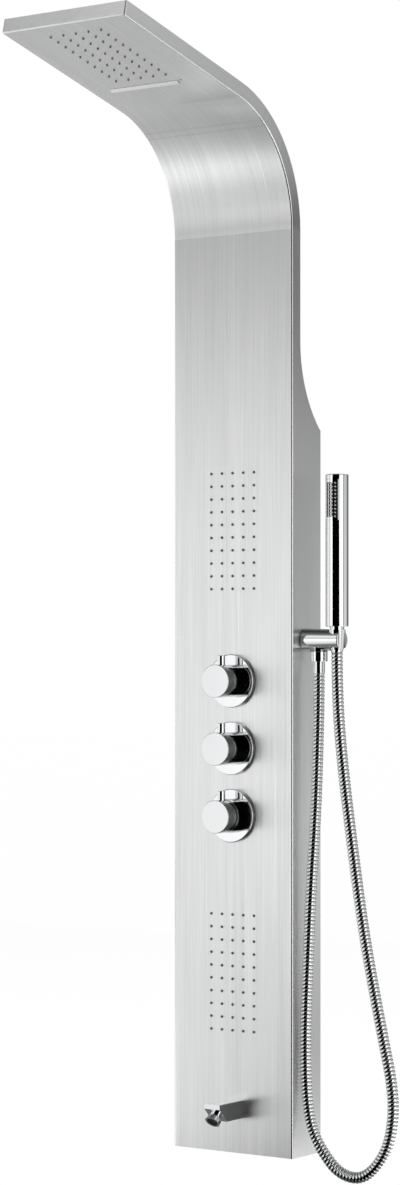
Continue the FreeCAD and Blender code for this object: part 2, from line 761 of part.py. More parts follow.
def knob_collar(height, radius):
    """The lock ring that clamps the flange, with a narrower neck behind the knob."""
    front = flange_thickness + collar_length
    ring = knob_rod(height, front, flange_thickness, radius)
    neck = knob_rod(height, front + knob_groove / 2, front, collar_neck_radius)
    middle = flange_thickness + collar_length * collar_groove_share
    half = collar_groove_width / 2
    groove = knob_rod(height, middle + half, middle - half, radius + 1)
    groove = groove.cut(knob_rod(height, middle + 1, middle - 1, radius - collar_groove_depth))
    collar = ring.fuse(neck).cut(groove)
    return collar.cut(knob_rod(height, front + 1, flange_thickness - 1, boss_radius + slip))


def cartridge(height):
    """The valve insert in its boss, bored for the spindle."""
    body = knob_rod(height, boss_front, -cartridge_back, cartridge_radius)
    return body.cut(knob_rod(height, boss_front + 1, -cartridge_back / 2, spindle_radius + running))


def spindle(height):
    return knob_rod(height, spindle_front, -cartridge_back / 2 + spindle_end_gap, spindle_radius)


def knob(height):
    body = knob_rod(height, knob_front, knob_back, knob_radius)
    rims = [edge for edge in body.Edges if edge.Curve.TypeId == "Part::GeomCircle"]
    body = body.makeFillet(knob_round, rims)
    pin_axis = V(0, -knob_back - pin_setback, height)
    pin_foot = pin_axis + Z_AXIS * (knob_radius - pin_seat)
    removed = [knob_rod(height, spindle_front + slip, knob_back - 1, spindle_radius + running),
               rod(pin_foot, pin_axis + Z_AXIS * (knob_radius + 1), pin_radius),
               rod(pin_axis, pin_axis - Z_AXIS * (knob_radius + 1), grub_screw_radius)]
    return body.cut(removed)


def knob_pin(height):
    start = V(0, -knob_back - pin_setback, height + knob_radius - pin_seat)
    pin = rod(start, start + Z_AXIS * (pin_seat + pin_reach), pin_radius)
    top = [edge for edge in pin.Edges if edge.BoundBox.ZMin > start.z + pin_seat]
    return pin.makeFillet(pin_round, top)


def grub_screw(height):
    """The screw that locks the knob to its spindle, with a socket in its outer end."""
    centre = V(0, -knob_back - pin_setback, height)
    outer = centre - Z_AXIS * (knob_radius - grub_screw_depth)
    screw = rod(centre - Z_AXIS * spindle_radius, outer, grub_screw_radius)
    socket = rod(outer + Z_AXIS * grub_socket_depth, outer - Z_AXIS, grub_screw_radius / 2)
    return screw.cut([socket, knob_rod(height, knob_front, knob_back, spindle_radius)])


# ---- tub spout ----
spout_bottom = spout_height - spout_rise / 2
spout_lip_height = spout_height + spout_rise / 2 - spout_lip
mitre_middle = V(0, -(spout_top_length + spout_bottom_length) / 2, (spout_bottom + spout_lip_height) / 2)
aerator_axis = V(0, spout_bottom - spout_lip_height, spout_bottom_length - spout_top_length).normalize()


def mitre_block(wall, end_wall, back):
    """The spout's square bar, or the hollow inside it: an upright lip and a slanted end below it."""
    low = spout_bottom + wall
    high = spout_height + spout_rise / 2 - wall
    half_x = spout_width / 2 - wall
    front = end_wall - spout_top_length
    slant = (spout_top_length - spout_bottom_length) / (spout_lip_height - spout_bottom)
    low_front = front + slant * (spout_lip_height - low)
    corners = [V(-half_x, back, low), V(-half_x, back, high), V(-half_x, front, high),
               V(-half_x, front, spout_lip_height), V(-half_x, low_front, low), V(-half_x, back, low)]
    return Part.Face(Part.makePolygon(corners)).extrude(V(2 * half_x, 0, 0))


def spout_body():
    outside = mitre_block(0, 0, 0)
    long_edges = [edge for edge in outside.Edges if abs(edge.tangentAt(edge.FirstParameter).y) > 0.99]
    outside = outside.makeFillet(spout_corner, long_edges)
    hollow = mitre_block(spout_wall, spout_end_wall, -spout_wall)
    shank = rod(V(0, 0, spout_height), V(0, spout_shank_length, spout_height), spout_shank_radius)
    bore_start = V(0, -spout_wall - 1, spout_height)
    bore = rod(bore_start, V(0, spout_shank_length + 1, spout_height), inner_hose_bore)
    seat = rod(mitre_middle - aerator_axis * aerator_inset, mitre_middle + aerator_axis * aerator_reach,
               aerator_radius + slip)
    return outside.cut(hollow).fuse(shank).cut([bore, seat])


def spout_aerator():
    """The round nozzle in the mitred end, bored, with a wider rim."""
    inner = mitre_middle - aerator_axis * aerator_inset
    outer = mitre_middle + aerator_axis * aerator_reach
    rim_start = outer - aerator_axis * aerator_rim
    nozzle = rod(inner, outer, aerator_radius).fuse(rod(rim_start, outer, aerator_rim_radius))
    plate_front = outer - aerator_axis * aerator_recess
    plate_back = plate_front - aerator_axis * aerator_plate
    bore = rod(inner - aerator_axis, plate_back, aerator_radius - aerator_wall)
    mesh_recess = rod(plate_front, outer + aerator_axis, aerator_radius)
    holes = []
    side_axis = aerator_axis.cross(X_AXIS)
    for ring, count in aerator_rings.items():
        for index in range(count):
            angle = 2 * math.pi * index / count
            centre = outer + X_AXIS * (ring * math.cos(angle)) + side_axis * (ring * math.sin(angle))
            through = aerator_axis * (aerator_recess + aerator_plate + 1)
            holes.append(rod(centre - through, centre + aerator_axis, aerator_hole_radius))
    return nozzle.cut([bore, mesh_recess]).cut(Part.makeCompound(holes))


def hex_nut(centre, axis, corner_radius, thickness, hole_radius):
    """A six-sided nut on a level axis; its face lies at the centre and it grows along the axis."""
    sideways = axis.cross(Z_AXIS)
    corners = []
    for index in range(7):
        angle = math.radians(60 * index)
        corner = Z_AXIS * math.cos(angle) + sideways * math.sin(angle)
        corners.append(centre + corner * corner_radius)
    nut = Part.Face(Part.makePolygon(corners)).extrude(axis * thickness)
    return nut.cut(rod(centre - axis, centre + axis * (thickness + 1), hole_radius))


def spout_nut():
    start = V(0, sheet, spout_height)
    return hex_nut(start, Y_AXIS, spout_nut_radius, spout_nut_thickness, spout_shank_radius + running)


# ---- holder of the hand shower ----
def cone_radius_at(height):
    share = (height - cone_bottom_height) / cone_length
    return cone_bottom_radius + share * (cone_top_radius - cone_bottom_radius)


def holder_body():
    """A tapered bar from the side of the panel: water outlet below, open cradle at its end."""
    base = V(half_width, holder_setback, holder_height)
    end = base + X_AXIS * holder_length
    bar = cone(base, end, holder_base_radius, holder_end_radius)
    tip = [edge for edge in bar.Edges if edge.BoundBox.XMin > half_width + holder_length - 1]
    bar = bar.makeFillet(holder_end_round, tip)
    shank = rod(base, base - X_AXIS * holder_shank_length, holder_shank_radius)
    outlet = V(outlet_x, holder_setback, holder_height)
    stub_end = V(outlet_x, holder_setback, outlet_seat_height() - outlet_stub_length)
    stub = rod(outlet, stub_end, outlet_stub_radius)
    pad = rod(outlet, V(outlet_x, holder_setback, outlet_seat_height()), outlet_nut_radius)
    removed = [rod(base - X_AXIS * (holder_shank_length + 1), outlet, holder_bore_radius),
               rod(outlet, stub_end - Z_AXIS, holder_bore_radius),
               cradle_hollow()]
    return bar.fuse([shank, stub, pad]).cut(removed)


def outlet_seat_height():
    """Flat seat for the outlet nut, level with the lowest line of the bar above the nut."""
    near_side = outlet_from_side - outlet_nut_radius
    bar_radius = holder_base_radius + (holder_end_radius - holder_base_radius) * near_side / holder_length
    return holder_height - bar_radius


def cradle_hollow():
    """A conical hole with a slot to the end, wide enough for the hose."""
    low = holder_height - holder_base_radius - 1
    high = holder_height + holder_base_radius + 1
    low_radius = cone_radius_at(low) + cradle_clearance
    high_radius = cone_radius_at(high) + cradle_clearance
    hole = cone(V(cradle_x, holder_setback, low), V(cradle_x, holder_setback, high), low_radius, high_radius)
    slot = box(cradle_x, half_width + holder_length + 1, holder_setback - cradle_slot / 2,
               holder_setback + cradle_slot / 2, low, high)
    return hole.fuse(slot)


def holder_nut():
    start = V(inside_half, holder_setback, holder_height)
    return hex_nut(start, -X_AXIS, holder_nut_radius, holder_nut_thickness, holder_shank_radius + running)


def hose_outlet_nut():
    """The union nut under the holder."""
    top = V(outlet_x, holder_setback, outlet_seat_height())
    end = top - Z_AXIS * outlet_nut_length
    nut = rod(top, end, outlet_nut_radius)
    rims = [edge for edge in nut.Edges if edge.Curve.TypeId == "Part::GeomCircle"]
    nut = nut.makeFillet(outlet_nut_round, rims)
    thread = rod(top + Z_AXIS, top - Z_AXIS * (outlet_stub_length + slip), outlet_stub_radius + slip)
    hole = rod(top, end - Z_AXIS, ferrule_radius + slip)
    return nut.cut([thread, hole])


def hose_lower_ferrule():
    """The smooth sleeve between the union nut and the ribs."""
    end = V(*hose_route[0])
    top = V(end.x, end.y, outlet_seat_height() - outlet_stub_length - slip)
    sleeve = rod(top, end, ferrule_radius)
    return sleeve.cut(rod(top + Z_AXIS, end - Z_AXIS, hose_bore_radius))


# ---- shower hose ----
def hose_path():
    """Straight runs and tangent arcs, each arc as large as its two runs allow."""
    points = [V(*point) for point in hose_route]
    runs = [(after - before).Length for before, after in zip(points, points[1:])]
    radii = []
    for index in range(1, len(points) - 1):
        before = points[index] - points[index - 1]
        after = points[index + 1] - points[index]
        half_turn = before.getAngle(after) / 2
        radii.append(0.45 * min(runs[index - 1], runs[index]) / math.tan(half_turn))
    print("hose runs", [round(run) for run in runs])
    print("hose arc radii", [round(radius) for radius in radii])
    return filleted_path(points, radii)


def place_on(path, starts, distance):
    """Point and direction at a distance along the path."""
    index = 0
    while index < len(path.Edges) - 1 and starts[index + 1] <= distance:
        index += 1
    edge = path.Edges[index]
    parameter = edge.getParameterByLength(distance - starts[index])
    return edge.valueAt(parameter), edge.tangentAt(parameter).normalize()


def ring_at(path, starts, distance, radius):
    """A circle across the path whose X axis keeps to one steady side."""
    centre, direction = place_on(path, starts, distance)
    side = Y_AXIS.cross(direction).normalize()
    frame = FreeCAD.Rotation(side, direction.cross(side), direction, "ZXY")
    circle = Part.Circle()
    circle.Radius = radius
    edge = circle.toShape()
    edge.Placement = FreeCAD.Placement(centre, frame)
    return Part.Wire([edge])


def shower_hose():
    """A ribbed tube: each rib is a ruled loft through four circles, and the bore is lofted too."""
    path, length = hose_path()
    starts = [0.0]
    for edge in path.Edges:
        starts.append(starts[-1] + edge.Length)
    pitch = (length - 2 * hose_plain_end) / hose_rib_count
    outer = [ring_at(path, starts, 0, hose_radius)]
    inner = [ring_at(path, starts, 0, hose_bore_radius)]
    for rib in range(hose_rib_count):
        begin = hose_plain_end + rib * pitch
        for share, radius in ((0.1, hose_valley_radius), (0.3, hose_radius), (0.7, hose_radius),
                              (0.9, hose_valley_radius)):
            outer.append(ring_at(path, starts, begin + share * pitch, radius))
        inner.append(ring_at(path, starts, begin + pitch / 2, hose_bore_radius))
    outer.append(ring_at(path, starts, length - 1e-6, hose_radius))
    inner.append(ring_at(path, starts, length - 1e-6, hose_bore_radius))
    solid = Part.makeLoft(outer, True, True).cut(Part.makeLoft(inner, True, True))
    section = math.pi * (hose_radius ** 2 - hose_bore_radius ** 2)
    print("hose length %.0f volume share %.4f" % (length, solid.Volume / (section * length)))
    print("hose least gap to itself %.1f" % least_gap(path, starts, length))
    return solid


def least_gap(path, starts, length):
    """Least clear distance between stretches of the hose over six diameters apart."""
    step = hose_radius
    count = int(length / step)
    points = [place_on(path, starts, index * step)[0] for index in range(count)]
    apart = 12
    gaps = []
    for first in range(count):
        for second in range(first + apart, count):
            gaps.append((points[first] - points[second]).Length)
    return min(gaps) - 2 * hose_radius


# ---- hand shower ----
def hose_upper_ferrule():
    """The hose's end piece, on which the cone nut of the hand shower turns."""
    low = V(*hose_route[-1])
    collar_top = low + Z_AXIS * (end_ferrule_collar - slip)
    top = collar_top + Z_AXIS * end_ferrule_length
    ferrule = rod(low, collar_top, hose_radius).fuse(rod(low, top, end_ferrule_radius))
    return ferrule.cut(rod(low - Z_AXIS, top + Z_AXIS, hose_bore_radius))


def handset_cone_nut():
    low = V(cradle_x, holder_setback, cone_bottom_height)
    high = low + Z_AXIS * cone_length
    neck_top = V(cradle_x, holder_setback, handset_bottom)
    stub_top = neck_top + Z_AXIS * cone_stub_length
    nut = cone(low, high, cone_bottom_radius, cone_top_radius).fuse(rod(high, stub_top, cone_neck_radius))
    ferrule_seat = rod(low - Z_AXIS, low + Z_AXIS * end_ferrule_length, end_ferrule_radius + running)
    return nut.cut([ferrule_seat, rod(low, stub_top + Z_AXIS, hose_bore_radius)])


def handset_tube():
    """The stick: a tube with a thick floor and a window for the spray face."""
    low = V(cradle_x, holder_setback, handset_bottom)
    top = low + Z_AXIS * (handset_length - end_cap_thickness)
    tube = rod(low, top, handset_radius)
    rim = [edge for edge in tube.Edges if edge.BoundBox.ZMax < handset_bottom + 0.01]
    tube = tube.makeFillet(handset_round, rim)
    hollow = rod(low + Z_AXIS * handset_floor, top + Z_AXIS, handset_radius - handset_wall)
    seat = rod(low - Z_AXIS, top, cone_neck_radius + slip)
    return tube.cut([hollow, seat, face_block(face_window_depth, slip)])


def face_top():
    return handset_bottom + handset_length - face_from_top


def face_block(depth, clearance):
    """A wedge of the stick's wall, turned to the front, as tall as the spray face."""
    half = math.radians(face_half_angle) + clearance / handset_radius
    low = face_top() - face_height - clearance
    height = face_height + 2 * clearance
    outer = handset_radius + 3 * clearance
    inner = handset_radius - depth
    points = []
    corners = ((outer, -half), (outer, 0), (outer, half), (inner, half), (inner, 0), (inner, -half))
    for radius, angle in corners:
        y = holder_setback - radius * math.cos(angle)
        points.append(V(cradle_x + radius * math.sin(angle), y, low))
    edges = [Part.Arc(points[0], points[1], points[2]).toShape(), Part.makeLine(points[2], points[3]),
             Part.Arc(points[3], points[4], points[5]).toShape(), Part.makeLine(points[5], points[0])]
    return Part.Face(Part.Wire(edges)).extrude(Z_AXIS * height)


def handset_spray_face():
    """The curved plated face with its rows of small nipples."""
    face = face_block(face_depth, 0)
    long_edges = []
    for edge in face.Edges:
        middle = edge.valueAt((edge.FirstParameter + edge.LastParameter) / 2)
        outside = math.hypot(middle.x - cradle_x, middle.y - holder_setback) > handset_radius - 0.01
        if outside and abs(edge.tangentAt(edge.FirstParameter).z) > 0.99:
            long_edges.append(edge)
    face = face.makeFillet(face_round, long_edges)
    nipples = []
    bores = []
    middle = face_top() - face_height / 2
    for row in range(face_rows):
        z = middle + (row - (face_rows - 1) / 2) * face_pitch_up
        for column in range(face_columns):
            angle = math.radians((column - (face_columns - 1) / 2) * face_pitch_turn)
            outward = V(math.sin(angle), -math.cos(angle), 0)
            centre = V(cradle_x, holder_setback, z)
            root = centre + outward * (handset_radius - face_nipple_root)
            tip = centre + outward * (handset_radius + face_nipple_reach)
            nipples.append(rod(root, tip, face_nipple_radius))
            behind = centre + outward * (handset_radius - face_depth - 1)
            bores.append(rod(behind, tip + outward, face_nipple_bore))
    return face.fuse(nipples).cut(Part.makeCompound(bores))


def handset_end_cap():
    top = handset_bottom + handset_length
    low = V(cradle_x, holder_setback, top - end_cap_thickness)
    disc = rod(low, low + Z_AXIS * end_cap_thickness, handset_radius)
    rim = [edge for edge in disc.Edges if edge.BoundBox.ZMin > top - 0.01]
    disc = disc.makeFillet(end_cap_round, rim)
    plug = rod(low - Z_AXIS * end_cap_plug, low, handset_radius - handset_wall - slip)
    return disc.fuse(plug)


# ---- hose routes inside the column ----
def head_vector(x, along):
    """A point of the middle plane of the rain head."""
    y, z = head_point(along, slim_hose_setback)
    return V(x, y, z)


def bend_corner(x):
    """Where the upright and the sloping runs of a hose would meet."""
    reach = (bend_radius + slim_hose_setback) * math.tan(turn / 2)
    return V(x, slim_hose_setback, bend_start_height + reach)


def over_the_bend(side_x, port_x, end_along):
    """Route from a port on top of the valve, past the jets and round the bend."""
    start = valve_top + port_length
    leaned = start + hose_rise + hose_lean * abs(side_x - port_x)
    points = [V(port_x, valve_setback, start),
              V(port_x, valve_setback, start + hose_rise),
              V(side_x, valve_setback, leaned),
              V(side_x, valve_setback, flare_bottom_height - flare_hose_below),
              V(side_x, slim_hose_setback, flare_bottom_height + flare_hose_above),
              bend_corner(side_x),
              head_vector(side_x, end_along)]
    radii = [upper_hose_bend] * 4 + [bend_radius + slim_hose_setback]
    return points, radii


def elbow_to_jets(port_height, jets_height):
    """Route from a port on the valve's left side to the back of a jet manifold."""
    start = V(-valve_half_width - port_length, valve_setback, port_height)
    out = V(start.x - jets_hose_out, valve_setback, port_height)
    back = chamber_back + port_length + jets_hose_back
    step = 1 if jets_height > port_height else -1
    return [start, out, V(out.x, back, port_height + step * jets_hose_lean),
            V(0, back, jets_height - step * jets_hose_rise), V(0, back, jets_height),
            V(0, chamber_back + port_length, jets_height)]


def spout_route():
    """Route from the valve's left side, past the lower jets, to the spout's shank."""
    start = V(-valve_half_width - port_length, valve_setback, spout_port_height)
    out = V(start.x - spout_hose_out, valve_setback, spout_port_height)
    back = spout_shank_length + spout_hose_back
    return [start, out, V(out.x, back, spout_height + spout_hose_high_turn),
            V(0, back, spout_height + spout_hose_low_turn), V(0, back, spout_height),
            V(0, spout_shank_length, spout_height)]


def handset_route():
    start = V(valve_half_width + port_length, valve_setback, handset_port_height)
    end = V(half_width - holder_shank_length, holder_setback, holder_height)
    middle_x = (start.x + end.x) / 2
    return [start, V(middle_x, start.y, start.z), V(middle_x, end.y, end.z), end]


def same_bends(points, radius):
    return [radius] * (len(points) - 2)


def build():
    os.makedirs("parts", exist_ok=True)
    save("front_shell", front_shell())
    save("rear_cover", rear_cover())
    save("bottom_tray", bottom_tray())
    for side, height in wall_bolt_heights.items():
        save(side + "_wall_bracket", wall_bracket(height))
        save(side + "_hanger_rail", hanger_rail(height))
    heights = {"upper": upper_jets_height, "lower": lower_jets_height}
    for side, places in jet_grids.items():
        save(side + "_jet_mat", nozzle_mat(places, jet_nipple_radius, jet_nipple_reach))
        save(side + "_jet_manifold", jet_manifold(places, heights[side]))
    rain_mat = nozzle_mat(rain_grid, rain_nipple_radius, rain_nipple_reach)
    save("rain_nozzle_mat", to_head(rain_mat))
    save("rain_chamber", rain_chamber())
    save("waterfall_chamber", waterfall_chamber())
    save("waterfall_lip", waterfall_lip())
    save("mixing_valve", mixing_valve())
    save("hot_inlet", inlet(-1))
    save("cold_inlet", inlet(1))
    for name, height in knob_heights.items():
        save(name + "_flange", knob_flange(height))
        save(name + "_collar", knob_collar(height, collar_radii[name]))
        save(name + "_cartridge", cartridge(height))
        save(name + "_spindle", spindle(height))
        save(name + "_knob", knob(height))
        save(name + "_pin", knob_pin(height))
        save(name + "_grub_screw", grub_screw(height))
    points, radii = over_the_bend(rain_hose_side, top_port_side, rain_box_start - port_length)
    save("rain_hose", inner_hose("rain_hose", points, radii))
    points, radii = over_the_bend(waterfall_hose_side, -top_port_side, waterfall_box_start - port_length)
    save("waterfall_hose", inner_hose("waterfall_hose", points, radii))
    routes = {"upper_jets_hose": elbow_to_jets(upper_jets_port_height, upper_jets_height),
              "lower_jets_hose": elbow_to_jets(lower_jets_port_height, lower_jets_height),
              "spout_hose": spout_route(),
              "handset_hose": handset_route()}
    for name, points in routes.items():
        save(name, inner_hose(name, points, same_bends(points, inner_hose_bend)))
    save("spout_body", spout_body())
    save("spout_aerator", spout_aerator())
    save("spout_nut", spout_nut())
    save("holder_body", holder_body())
    save("holder_nut", holder_nut())
    save("hose_outlet_nut", hose_outlet_nut())
    save("hose_lower_ferrule", hose_lower_ferrule())
    save("shower_hose", shower_hose())
    save("hose_upper_ferrule", hose_upper_ferrule())
    save("handset_cone_nut", handset_cone_nut())
    save("handset_tube", handset_tube())
    save("handset_spray_face", handset_spray_face())
    save("handset_end_cap", handset_end_cap())


build()
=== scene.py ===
"""Studio scene of the shower panel column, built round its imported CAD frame.

Metres throughout, in the frame of the CAD: X to the right of the panel, -Y out
of the wall, Z up, with the origin in the middle of the four wall bolts.
"""
import json
import math

import bmesh
import bpy
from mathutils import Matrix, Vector


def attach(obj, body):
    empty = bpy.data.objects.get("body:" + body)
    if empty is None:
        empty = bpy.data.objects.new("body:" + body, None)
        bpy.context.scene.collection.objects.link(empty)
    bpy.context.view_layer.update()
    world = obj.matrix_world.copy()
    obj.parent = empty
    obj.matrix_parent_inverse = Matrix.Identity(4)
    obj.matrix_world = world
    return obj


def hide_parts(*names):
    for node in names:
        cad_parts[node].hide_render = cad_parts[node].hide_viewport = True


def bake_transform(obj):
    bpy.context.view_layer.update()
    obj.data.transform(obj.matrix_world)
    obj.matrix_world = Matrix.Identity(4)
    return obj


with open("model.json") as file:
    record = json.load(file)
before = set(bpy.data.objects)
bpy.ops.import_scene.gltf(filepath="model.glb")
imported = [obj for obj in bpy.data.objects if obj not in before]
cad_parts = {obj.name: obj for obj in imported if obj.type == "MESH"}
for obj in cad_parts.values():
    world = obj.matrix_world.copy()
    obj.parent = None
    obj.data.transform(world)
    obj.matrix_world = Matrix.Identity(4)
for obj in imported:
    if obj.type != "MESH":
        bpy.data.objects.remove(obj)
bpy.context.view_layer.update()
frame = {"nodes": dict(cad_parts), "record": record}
nodes = frame["nodes"]
scene = bpy.context.scene
scene.view_settings.view_transform = "Standard"

# the panel's own sizes, as in the CAD
PANEL_DEPTH = 0.072
BOLT_MIDDLE = 0.5325          # middle of the wall bolts above the panel's lower edge
FRONT_FACE = -PANEL_DEPTH
BEND_RADIUS = 0.167           # of the front face
BEND_ANGLE = math.radians(76.5)
BEND_CENTRE_Y = FRONT_FACE - BEND_RADIUS
BEND_CENTRE_Z = 0.7525
HALF_WIDTH = 0.100
FOLD = 0.0027                 # width of a folded edge
# where painted shade darkens the holder's bar
HOLDER_HEIGHT = 0.1845
HOLDER_EDGES = (0.0065, 0.0125)   # above and below its axis
HOLDER_FOOT = (0.1015, 0.105)     # across, just off the panel's side
HOLDER_PAINTED_SHADE = 0.68            # share of the tone that painted shade takes away there
HOLDER_SMEARED = (0.80, 0.81, 0.82)
AERATOR_FOOT = (0.0, -0.1135, -0.47525)   # middle of the spout's slanted end
AERATOR_AXIS = (0.0, -0.69762, -0.71647)
AERATOR_INSIDE = 0.0091       # from that middle to just behind the screen
AERATOR_MOUTH = 0.0082        # just over the radius of the mouth

# the view of the photograph
CAMERA_PLACE = (2.3335, -3.5068, 0.1559)
CAMERA_AZIMUTH = math.radians(34.82)
CAMERA_LENS = 90.10
CAMERA_SHIFT = 0.05755
CAMERA_REACH = 200
FLOOR_HEIGHT = -0.80


def make_camera():
    camera = bpy.data.objects.new("camera", bpy.data.cameras.new("camera"))
    scene.collection.objects.link(camera)
    camera.location = CAMERA_PLACE
    camera.rotation_euler = (math.pi / 2, 0, CAMERA_AZIMUTH)
    camera.data.lens = CAMERA_LENS
    camera.data.shift_y = CAMERA_SHIFT
    camera.data.clip_end = CAMERA_REACH
    scene.camera = camera


BRUSH_RELIEF = 0.00002        # unit of height in the steel's relief
BRUSH_DEPTH = 0.8             # of the brushing, in that unit
POLISHED = 0.18               # roughness of the steel's folded edges
# painted shade where the bend starts, as distances up the sheet from there: at once on the
# line where the bend starts, more just after it, and then less and less
BEND_SHADE_LINE = (-0.0012, 0.0016)
BEND_SHADE_FROM = (0.0016, 0.008)
BEND_SHADE_TO = (0.012, 0.080)
BEND_SHADE_SHARE = 0.11            # share of the tone that each of the first two takes away as painted shade
# darker lines across the bend, as angles round it
DARK_LINE_ANGLES = (0.92, 0.985)
DARK_LINE_WIDTH = 0.014
DARK_LINE_SHARE = 0.09
# painted shade darkens the walls of the holes and the back of the front sheet
INSIDE_DEPTH = 0.0004
INNER_HALF_WIDTH = 0.0975
INNER_PATH = BEND_ANGLE * BEND_RADIUS + 0.268   # up the sheet, to just short of the head's end
INSIDE_SHADE_SHARE = 0.9


# ---------------------------------------------------------------- shader nodes
class Shader:
    """Short calls that add nodes to one material."""

    def __init__(self, name):
        self.material = bpy.data.materials.new(name)
        self.material.use_nodes = True
        self.tree = self.material.node_tree
        self.surface = self.tree.nodes["Principled BSDF"]

    def put(self, node, socket, value):
        """Links value to the socket if it is another node's output, and sets it otherwise."""
        if isinstance(value, bpy.types.NodeSocket):
            self.tree.links.new(value, node.inputs[socket])
        else:
            node.inputs[socket].default_value = value

    def node(self, kind, inputs, **settings):
        node = self.tree.nodes.new("ShaderNode" + kind)
        for name, value in settings.items():
            setattr(node, name, value)
        for socket, value in inputs.items():
            self.put(node, socket, value)
        return node

    def surface_set(self, **inputs):
        for socket, value in inputs.items():
            self.put(self.surface, socket.replace("_", " "), value)

    def place(self):
        """The point on the object, as three numbers that stay with its body."""
        point = self.node("TexCoord", {}).outputs["Object"]
        split = self.node("SeparateXYZ", {"Vector": point})
        return [split.outputs[axis] for axis in "XYZ"]

    def vector(self, x, y, z):
        return self.node("CombineXYZ", {"X": x, "Y": y, "Z": z}).outputs["Vector"]

    def math(self, operation, a, b=0.0, c=0.0):
        return self.node("Math", {0: a, 1: b, 2: c}, operation=operation).outputs[0]

    def noise(self, vector, scale, detail=2.0, roughness=0.5):
        inputs = {"Vector": vector, "Scale": scale, "Detail": detail, "Roughness": roughness}
        return self.node("TexNoise", inputs).outputs["Fac"]

    def between(self, value, low, high, from_low=0.3, from_high=0.7, ease="LINEAR"):
        """value, from from_low to from_high, mapped to low to high and held there beyond them."""
        inputs = {"Value": value, "From Min": from_low, "From Max": from_high,
                  "To Min": low, "To Max": high}
        return self.node("MapRange", inputs, interpolation_type=ease).outputs["Result"]

    def soft_between(self, value, low, high, from_low, from_high):
        """The same with a soft start and end."""
        return self.between(value, low, high, from_low, from_high, "SMOOTHSTEP")

    def colour(self, amount, a, b):
        inputs = {"Factor": amount, 6: (*a, 1), 7: (*b, 1)}
        return self.node("Mix", inputs, data_type="RGBA").outputs[2]

    def scaled(self, colour, amount):
        """The colour times an amount."""
        inputs = {0: colour, 1: self.vector(amount, amount, amount)}
        return self.node("VectorMath", inputs, operation="MULTIPLY").outputs[0]

    def bump(self, height, strength, distance):
        inputs = {"Height": height, "Strength": strength, "Distance": distance}
        return self.node("Bump", inputs).outputs["Normal"]


CHROME_TINT = (0.84, 0.85, 0.86)
CHROME_ROUGH = 0.035          # where the plating is cleanest
CHROME_SMUDGE = 0.05          # what smudges add to that
SMEAR = {"detail": 4.0, "roughness": 0.6}
GROOVE_SHADE = (0.22, 1.0)    # share of the tone that painted shade keeps, at the two heights of a rib below
GROOVE_HEIGHTS = (0.05, 0.62)


def chrome(name, tint=CHROME_TINT, smudge=1.0, least_rough=CHROME_ROUGH, grooved=False):
    """Polished plating: faint smudges, and a slight waviness of the cast metal under it.

    A grooved piece carries the attribute "crest", and painted shade makes it darker down in its
    grooves.
    """
    s = Shader(name)
    point = s.vector(*s.place())
    smear = s.noise(point, 45.0, **SMEAR)
    wave = s.noise(point, 22.0, detail=1.0)
    clean = s.colour(smear, [c * 0.95 for c in tint], tint)
    if grooved:
        # painted shade down in the grooves, from the attribute crest
        crest = s.node("Attribute", {}, attribute_name="crest").outputs["Fac"]
        clean = s.scaled(clean, s.between(crest, *GROOVE_SHADE, *GROOVE_HEIGHTS))
    s.surface_set(Metallic=1.0,
                  Base_Color=clean,
                  Roughness=s.between(smear, least_rough, least_rough + CHROME_SMUDGE * smudge),
                  Normal=s.bump(wave, strength=0.05, distance=0.002))
    return s.material


def holder_chrome(name):
    """Polished plating with painted shade, darker at the foot and along the top and bottom of the
    bar.
    """
    s = Shader(name)
    x, y, z = s.place()
    smear = s.noise(s.vector(x, y, z), 45.0, **SMEAR)
    # painted shade along the bar's top and bottom and at its foot
    off_axis = s.math("ABSOLUTE", s.math("SUBTRACT", z, HOLDER_HEIGHT))
    edges = s.soft_between(off_axis, 0.0, HOLDER_PAINTED_SHADE, *HOLDER_EDGES)
    foot = s.soft_between(x, HOLDER_PAINTED_SHADE, 0.0, *HOLDER_FOOT)
    keep = s.math("SUBTRACT", 1.0, s.math("MAXIMUM", edges, foot))
    s.surface_set(Metallic=1.0,
                  Base_Color=s.scaled(s.colour(smear, HOLDER_SMEARED, CHROME_TINT), keep),
                  Roughness=s.between(smear, CHROME_ROUGH, CHROME_ROUGH + CHROME_SMUDGE))
    return s.material


FINE_SMEAR = 60.0             # scale of the smudges on the small pieces
SMALL_ROUGH = (0.035, 0.09)   # of the plating on them
# painted shade inside the spout's mouth
MOUTH_SHADE_COLOUR = (0.045, 0.045, 0.048)
SCREEN_ROUGH = 0.4            # added there


def nozzle_chrome(name):
    """Polished plating outside, and painted shade that makes the screen and throat inside the mouth
    dark and dull.
    """
    s = Shader(name)
    x, y, z = s.place()
    side = [s.math("SUBTRACT", part, foot) for part, foot in zip((x, y, z), AERATOR_FOOT)]
    ahead = s.math("ADD", s.math("MULTIPLY", side[1], AERATOR_AXIS[1]),
                   s.math("MULTIPLY", side[2], AERATOR_AXIS[2]))
    squares = [s.math("MULTIPLY", part, part) for part in side]
    reach = s.math("ADD", s.math("ADD", squares[0], squares[1]), squares[2])
    off_axis = s.math("SQRT", s.math("SUBTRACT", reach, s.math("MULTIPLY", ahead, ahead)))
    # painted shade on the screen and the throat inside the mouth
    deep = s.math("GREATER_THAN", ahead, AERATOR_INSIDE)
    dark = s.math("MULTIPLY", deep, s.math("LESS_THAN", off_axis, AERATOR_MOUTH))
    smear = s.noise(s.vector(x, y, z), FINE_SMEAR, **SMEAR)
    s.surface_set(Metallic=s.math("SUBTRACT", 1.0, dark),
                  Base_Color=s.colour(dark, CHROME_TINT, MOUTH_SHADE_COLOUR),
                  Roughness=s.math("ADD", s.between(smear, *SMALL_ROUGH),
                                   s.math("MULTIPLY", dark, SCREEN_ROUGH)))
    return s.material


FINE_SHARE = 0.78             # of the fine lines in the brushing
BROAD_SHARE = 0.22
ROUGH_SPREAD = 0.04


